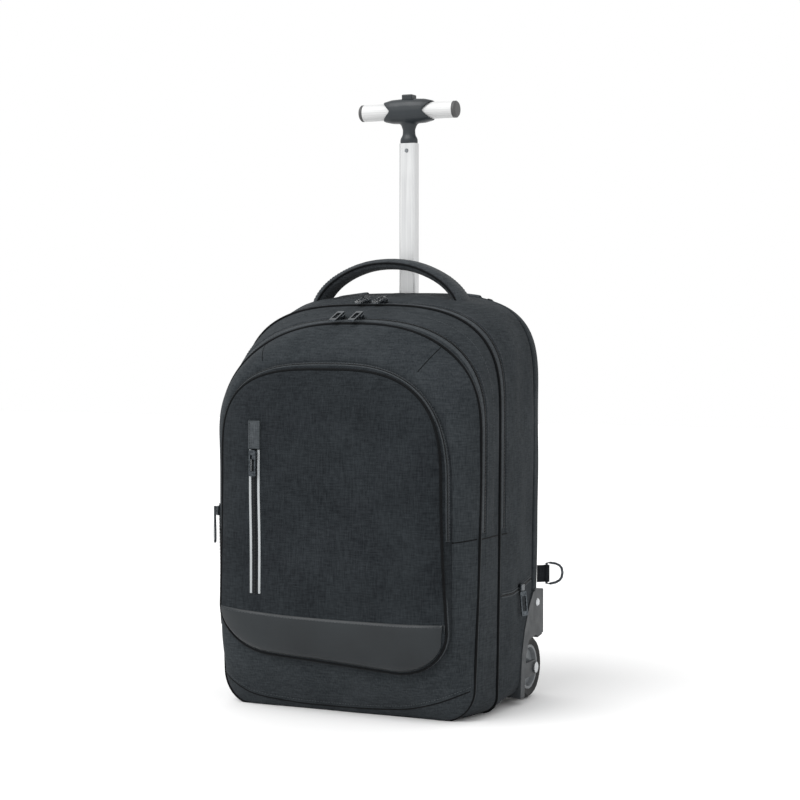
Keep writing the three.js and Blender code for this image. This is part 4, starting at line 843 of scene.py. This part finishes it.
def long_zip(tree, o, seam_y, from_z):
    """A light tape behind a seam's bead, then a narrow coil in its groove, with stitched lines along both."""
    def at(depth):
        path, normal = ring_line(o, seam_y + depth, 0.0, from_z)
        return snapped(tree, path, normal)

    beads.sweep(*at(6.6), tape_profile(2.5, 0.35))
    for depth in (11.3, 14.1):
        tapes.sweep(*at(depth), tape_profile(1.0, 0.3))
    coils.bits(*at(12.7), (0.9, 2.2, 0.9), TOOTH_PITCH, 0.1)
    for depth, lift in ((4.7, 0.2), (8.5, 0.2), (17.4, -0.1)):
        stitches.bits(*at(depth), FINE_STITCH, STITCH_PITCH, lift)


long_zip(front_tree, grown(mixed(SEAM_ONE, GUSSET, 0.43), 0.7), SEAM_ONE_Y, BAND_SEAM_Z + 4)
long_zip(main_tree, grown(mixed(SEAM_TWO, MIDDLE, 0.24), 0.5), SEAM_TWO_Y, BAND_SEAM_Z + 4)
pocket_side = mixed(POCKET_EDGE, POCKET, 0.6)
for depth, kind in ((5.2, "tape"), (6.9, "coil"), (8.6, "tape"), (10.4, "stitch")):
    path, normal = ring_line(pocket_side, POCKET_Y + depth, 0.4, BAND_SEAM_Z)
    path, normal = snapped(pocket_tree, path, normal)
    if kind == "tape":
        beads.sweep(path, normal, tape_profile(1.1, 0.5))
    elif kind == "coil":
        coils.bits(path, normal, (0.9, 2.2, 1.1), TOOTH_PITCH, 0.1)
    else:
        stitches.bits(path, normal, (2.2, 0.5, 0.45), 3.4, -0.1)
# Stitched fold behind the first zip, on the gusset
path, normal = ring_line(grown(mixed(SEAM_ONE, SEAM_TWO, 0.62), 1.2), SEAM_ONE_Y + 34, 0, BAND_SEAM_Z + 2)
stitches.bits(*snapped(front_tree, path, normal), STITCH, STITCH_PITCH, -0.1)


def on_panel(points, spacing=4.0):
    """A line of (x, z) laid on the front panel."""
    dense = resampled([(x, -RAY, z) for x, z in points], spacing)
    return laid(front_tree, dense, (0, 1, 0))


def smooth_line(points, count=40):
    """A line eased through its points with no overshoot."""
    p = np.asarray(points, float)
    out = pchip(p, [max(count // (len(p) - 1), 2)] * (len(p) - 1))
    return [tuple(row) for row in out]


seams = Builder()
bowl = smooth_line([(-156, 33), (-132, 20), (-107, 12), (-44, 6.5), (12, 7), (69, 10), (119, 22), (156, 37)])
path, normal = on_panel(bowl)
seams.sweep(path, normal, round_profile(0.9, 6, 0.7))
path, normal = on_panel([(x, z + 4.5) for x, z in bowl])
stitches.bits(path, normal, STITCH, STITCH_PITCH, -0.1)
for line in ([(118, 421), (112, 411), (101, 394)], [(-105, 423), (-100, 415), (-95, 405)]):
    path, normal = on_panel(line, 3)
    seams.sweep(path, normal, round_profile(0.55, 6, 0.7))
for side in (-1, 1):
    line = [(side * x, BAND_SEAM_Z + rise) for x, rise in ((131, -3), (150, -1), (166, 1))]
    path, normal = on_panel(line, 3)
    seams.sweep(path, normal, round_profile(0.8, 6, 0.7))
    points = [(side * RAY, y, BAND_SEAM_Z) for y in np.linspace(SEAM_ONE_Y + 3, SEAM_TWO_Y - 3, 16)]
    path, normal = laid(front_tree, points, (-side, 0, 0))
    seams.sweep(path, normal, round_profile(0.8, 6, 0.7))
    points = [(side * RAY, y, BAND_SEAM_Z) for y in np.linspace(SEAM_TWO_Y + 3, SEAM_TWO_Y + 20, 8)]
    path, normal = laid(main_tree, points, (-side, 0, 0))
    seams.sweep(path, normal, round_profile(0.8, 6, 0.7))

# Side pocket zip on the right, and the small zip on the left of the front panel
side_zip = smooth_line([(6, 136), (33, 135.5), (56, 138), (79, 142.6), (97, 145.5)], 24)
path, normal = laid(main_tree, [(RAY, SEAM_TWO_Y + y, z) for y, z in side_zip], (-1, 0, 0))
for lift in (2.0, -2.0):
    beads.sweep(path + [0, 0, lift], normal, tape_profile(0.8, 0.8))
coils.bits(path, normal, (0.9, 1.8, 0.9), TOOTH_PITCH, 0.0)
stitches.bits(path + [0, 0, 4.6], normal, STITCH, STITCH_PITCH, -0.1)
path, normal = laid(front_tree, [(LEFT_ZIP_X, -RAY, z) for z in np.linspace(95, 236, 40)], (0, 1, 0))
tapes.sweep(path, normal, tape_profile(5, 0.7))
coils.bits(path, normal, (0.9, 3.0, 1.0), TOOTH_PITCH, 0.6)

# The pocket's upright zip between two reflective stripes
path, normal = laid(pocket_tree, [(ZIP_X, -RAY, z) for z in np.linspace(ZIP_LOW, ZIP_HIGH, 60)], (0, 1, 0))
tapes.sweep(path, normal, tape_profile(3.6, 0.6))
coils.bits(path[:50], normal[:50], (0.9, 2.8, 1.0), TOOTH_PITCH, 0.5)
stripes = Builder()
for x in (ZIP_X - 5.5, ZIP_X + 5.5):
    path, normal = laid(pocket_tree, [(x, -RAY, z) for z in np.linspace(ZIP_LOW, STRIPE_TOP, 60)], (0, 1, 0))
    stripes.sweep(path, normal, tape_profile(1.5, 0.75))
stripes.made("reflective_stripes", "reflective")

beads.made("seam_beads", "cord")
tapes.made("zip_tapes", "tape")
coils.made("zip_coils", "coil")
seams.made("panel_seams", "binding")


# Smooth leather across the pocket's foot
def strip_top(x):
    """Height of the strip's upper edge, which rises towards the left."""
    x = np.asarray(x, float)
    return 115 + np.where(x < 30, 6 * ((30 - x) / 165) ** 2, 1.2 * ((x - 30) / 110) ** 2)


low_ring = ring(grown(POCKET_EDGE, -2.6))
lower = low_ring[low_ring[:, 1] < 135]
lower = lower[np.argsort(lower[:, 0])]
reach = 141.2
columns, rows_up = 90, 14
angles = np.linspace(-np.pi / 2, np.pi / 2, columns)
leather_points = []
for a in angles:
    x = reach * math.sin(a)
    z0, z1 = float(np.interp(x, lower[:, 0], lower[:, 1])), float(strip_top(x))
    z0 = min(z0, z1 - 1)
    for t in np.linspace(0, 1, rows_up):
        hit = cast(pocket_tree, (x, -RAY, z0 + (z1 - z0) * t), (0, 1, 0))
        if hit is None:
            hit = (np.array([x, POCKET_Y, z0 + (z1 - z0) * t]), np.array([0, -1, 0]))
        rim_share = min(t, 1 - t) * (rows_up - 1)
        lift = 1.5 if rim_share >= 1 else (0.9 if rim_share > 0 else 0.35)
        leather_points.append(hit[0] + hit[1] * lift)
leather_faces = []
for c in range(columns - 1):
    for r in range(rows_up - 1):
        a = c * rows_up + r
        leather_faces.append((a, a + rows_up, a + rows_up + 1, a + 1))
strip = piece("leather_strip_skin", leather_points, leather_faces, "leather", "bag", 0)
thick = strip.modifiers.new("thick", "SOLIDIFY")
thick.thickness = 1.0 * MM
thick.offset = -1
taken(strip)
strip.data.shade_smooth()
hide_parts("leather_strip")
line = [(x, -RAY, float(strip_top(x)) - 3.2) for x in np.linspace(-136, 136, 90)]
path, normal = laid(tree_of(strip), line, (0, 1, 0))
stitches.bits(path, normal, (2.8, 0.6, 0.5), 4.0, -0.1)

# The tab over the top of the upright zip
tab = Builder()
tab_heights = np.linspace(STRIPE_TOP + 1, ZIP_HIGH + 1, 12)
path, normal = laid(pocket_tree, [(ZIP_X, -RAY, z) for z in tab_heights], (0, 1, 0))
tab.sweep(path, normal, [(-7.5, -0.4), (7.5, -0.4), (7.5, 1.8), (6.3, 2.5), (-6.3, 2.5), (-7.5, 1.8)])
tab_piece = tab.made("front_zip_tab_skin", "tab")
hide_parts("front_zip_tab")
for x in (-5.8, 5.8):
    stitches.bits(path + [x, 0, 0], normal, (2.2, 0.5, 0.5), 3.2, 2.2)


# Carry handle: a stuffed band with a bound edge on each side
CARRY_HALF, CARRY_UP, CARRY_DROP = 96.0, 42.0, 14.0


def carry_path(count):
    u = np.linspace(-1, 1, count + 1)
    z = MIDDLE[0, TOP] - 2 + CARRY_UP * (1 - np.abs(u) ** 2.2) - CARRY_DROP * np.abs(u) ** 12
    return np.stack([CARRY_HALF * u, np.full_like(u, CARRY_Y), z], 1)


def band(points, across, widths, thicknesses, sides=20, power=2.6):
    """A closed rounded band along a path."""
    points = np.asarray(points, float)
    ahead = np.gradient(points, axis=0)
    ahead /= np.linalg.norm(ahead, axis=1)[:, None]
    across = np.asarray(across, float)
    off = np.cross(across[None], ahead)
    off /= np.linalg.norm(off, axis=1)[:, None]
    a = 2 * np.pi * np.arange(sides) / sides
    ca = np.sign(np.cos(a)) * np.abs(np.cos(a)) ** (2 / power)
    sa = np.sign(np.sin(a)) * np.abs(np.sin(a)) ** (2 / power)
    body = []
    for p, o, w, t in zip(points, off, widths, thicknesses):
        body.append(p + across * (w / 2 * ca)[:, None] + o * (t / 2 * sa)[:, None])
    body = np.concatenate(body)
    n = len(points)
    faces = []
    for r in range(n - 1):
        for c in range(sides):
            d = (c + 1) % sides
            faces.append((r * sides + c, (r + 1) * sides + c, (r + 1) * sides + d, r * sides + d))
    faces.append(tuple(range(sides)))
    faces.append(tuple(range((n - 1) * sides, n * sides))[::-1])
    return body, faces


arch = resampled(carry_path(160), 3.0)
outward = np.abs(arch[:, 0] / CARRY_HALF)
widths = 31 * (1 + 0.08 * outward ** 6)
thick_arch = 12.6 * (1 + 0.3 * outward ** 3)
points, faces = band(arch, (0, 1, 0), widths, thick_arch)
handle = stuffed("carry_handle_skin", points, faces, "handle", 3.6, 3.0, 0.9, "bag")
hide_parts("carry_handle")
handle_tree = tree_of(handle)
edges = Builder()
ahead = np.gradient(arch, axis=0)
ahead /= np.linalg.norm(ahead, axis=1)[:, None]
arch_off = np.cross(ahead, np.array([0, 1.0, 0])[None])
for side in (-1, 1):
    rim_path = arch + np.array([0, 1.0, 0]) * (side * widths / 2)[:, None]
    edges.sweep(rim_path, arch_off, round_profile(1.25, 8))
edges.made("carry_handle_binding", "binding")
for side in (-1, 1):
    line = arch + np.array([0, 1.0, 0]) * (side * (widths / 2 - 4.4))[:, None]
    line = (line + arch_off * (thick_arch / 2)[:, None])[4:-4]
    stitches.bits(*snapped(handle_tree, line, arch_off[4:-4]), (2.6, 0.6, 0.5), 4.0, -0.1)

# Shoulder straps: webbing over the back wall's top edge, then the padded length inside the pocket
for name, side in (("left", -1), ("right", 1)):
    x = side * STRAP_X
    front_y, hang_y, arch_z = REAR_FRONT_Y + 1.5, HOLLOW_BACK_Y - 5.5, HEIGHT * 0.9845
    radius = (hang_y - front_y) / 2
    points = [(x, front_y, arch_z - 34), (x, front_y, arch_z - 12)]
    for turn in np.linspace(0, 1, 13):
        angle = math.pi * turn
        points.append((x, front_y + radius * (1 - math.cos(angle)), arch_z + radius * 0.9 * math.sin(angle)))
    points.append((x, hang_y, arch_z - 24))
    points = resampled(points, 2.5)
    wide, thin = np.full(len(points), 39.5), np.full(len(points), 2.2)
    body, faces = band(points, (0.993, 0, -0.12 * side), wide, thin, 16, 5)
    web = piece(f"strap_webbing_{name}", body, faces, "strap")
    drops = np.linspace(0.05, 1, 60)
    points = np.array([(x, hang_y, arch_z - 330 * d) for d in drops])
    width = np.interp(drops, [0.05, 0.08, 0.3, 0.65, 0.92, 1], [40, 52, 52, 48, 38, 26])
    body, faces = band(points, (1, 0, 0), width, np.full(len(points), 6.2), 20, 3)
    pad = stuffed(f"shoulder_strap_{name}_skin", body, faces, "strap", 3.2, 3.0, 0.8, "bag")
    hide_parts(f"shoulder_strap_{name}")


# Back panel: two long spacer-mesh pads and a low one
def rounded(x0, x1, z0, z1, r):
    """A flat outline with rounded corners."""
    steps = 8
    corners = ((x1 - r, z0 + r, -90), (x1 - r, z1 - r, 0), (x0 + r, z1 - r, 90), (x0 + r, z0 + r, 180))
    points = []
    for cx, cz, start in corners:
        for i in range(steps + 1):
            a = math.radians(start + 90 * i / steps)
            points.append((cx + r * math.cos(a), cz + r * math.sin(a)))
    return np.array(points)


for name, shape in (
    ("left", rounded(-116, -14, 176, 412, 30)),
    ("right", rounded(14, 116, 176, 412, 30)),
    ("low", rounded(-104, 104, 66, 156, 26)),
):
    pad_points, pad_faces = slab(shape, REAR_BACK_Y - 3.0, REAR_BACK_Y + 3.2, 5.0)
    pad = stuffed(f"back_pad_{name}", pad_points, pad_faces, "mesh", 4.5, 4.0, 2.2, "bag")
    line = [(x, 400, z) for x, z in np.concatenate([shape, shape[:1]])]
    line = resampled(line, 4)
    away = line - line.mean(0)
    away /= np.linalg.norm(away, axis=1)[:, None]
    path, normal = laid(rear_tree, line + away * [2.5, 0, 2.5], (0, -1, 0))
    stitches.bits(path, normal, (2.6, 0.6, 0.5), 4.0, -0.1)

stitches.made("seam_stitches", "thread")

# Binding round the rear pocket's mouth
binding = Builder()
corner = []
near, far = REAR_FRONT_Y + 2, HOLLOW_BACK_Y + 0.6
side_ys = np.linspace(near, far - 2, 6)
corner += [(-MOUTH_HALF - 0.5, y, 600) for y in side_ys]
corner += [(x, far, 600) for x in np.linspace(2 - MOUTH_HALF, MOUTH_HALF - 2, 44)]
corner += [(MOUTH_HALF + 0.5, y, 600) for y in side_ys[::-1]]
path, normal = laid(rear_tree, corner, (0, 0, -1))
binding.sweep(path, normal, round_profile(1.5, 8))
binding.made("mouth_binding", "binding")

# CAD nodes that keep their shape, with softened edges and their own materials
KEPT = {
    "trolley_base": ("housing", 0.5), "trolley_outer_tube": ("tube", 0), "trolley_inner_tube": ("tube", 0),
    "tube_pin": ("hub", 0.3), "handle_body": ("handle_plastic", 0), "grip_bar": ("bar", 0.4),
    "release_button": ("handle_plastic", 0.5),
}
for end in ("left", "right"):
    KEPT.update({
        f"grip_cap_{end}": ("cap", 0.4),
        f"wheel_housing_{end}": ("housing", 0.9),
        f"housing_rivet_{end}": ("steel", 0.3),
        f"axle_{end}": ("steel", 0.3),
        f"wheel_hub_{end}": ("hub", 0.4),
        f"tyre_{end}": ("tyre", 0.8),
        f"ring_tab_{end}": ("webbing", 0.4),
        f"d_ring_{end}": ("gunmetal", 0),
    })
for zip_name in ("front_left", "front_right", "main_left", "main_right", "pocket_face", "side", "pocket_side"):
    bright = zip_name.startswith("main")
    KEPT[f"zip_slider_{zip_name}"] = ("gunmetal", 0.5)
    KEPT[f"zip_pull_{zip_name}"] = ("silver" if bright else "gunmetal", 0.3)
for name, (material, width) in KEPT.items():
    node = NODES[name]
    if not node.data.materials:
        node.data.materials.append(MAT[material])
    for slot in node.material_slots:
        slot.material = MAT[material]
    if width:
        bevel = node.modifiers.new("edge", "BEVEL")
        bevel.width = width * MM
        bevel.segments = 2
        bevel.limit_method = "ANGLE"
        bevel.angle_limit = math.radians(35)
        bevel.harden_normals = False

# The moulded hub of the grip is rounded all over
remesh = NODES["handle_body"].modifiers.new("even", "REMESH")
remesh.mode = "VOXEL"
remesh.voxel_size = 0.8 * MM
remesh.use_smooth_shade = True
round_off = NODES["handle_body"].modifiers.new("round", "SMOOTH")
round_off.factor = 0.5
round_off.iterations = 14

# Floor and light
floor_mesh = bpy.data.meshes.new("floor")
floor_mesh.from_pydata([(-6, -6, 0), (6, -6, 0), (6, 6, 0), (-6, 6, 0)], [], [(0, 1, 2, 3)])
floor = bpy.data.objects.new("floor", floor_mesh)
bpy.context.scene.collection.objects.link(floor)
floor_shader = Shader("floor_paper", 0.9)
paper = [(0, [0.84] * 3 + [1]), (1, [0.88] * 3 + [1])]
floor_shader.colour(floor_shader.ramp(floor_shader.noise((2, 2, 2)), paper))
floor_mesh.materials.append(floor_shader.material)


def aimed(name, kind, place, aim, **values):
    data = bpy.data.lights.new(name, kind)
    for key, value in values.items():
        setattr(data, key, value)
    lamp = bpy.data.objects.new(name, data)
    lamp.location = place
    way = Vector(aim) - Vector(place)
    lamp.rotation_euler = way.to_track_quat("-Z", "Y").to_euler()
    bpy.context.scene.collection.objects.link(lamp)


aimed("key", "SUN", (-1.3, -2.4, 3.0), (0, 0, 0.3), energy=2.2, angle=math.radians(50))
aimed("sheen", "AREA", (2.4, -1.2, 1.1), (0, 0, 0.2), size=0.7, energy=2)
world = bpy.data.worlds.new("studio")
world.use_nodes = True
world.node_tree.nodes["Background"].inputs["Color"].default_value = (1, 1, 1, 1)
world.node_tree.nodes["Background"].inputs["Strength"].default_value = 1.0
bpy.context.scene.world = world
bpy.context.scene.view_settings.view_transform = "Standard"
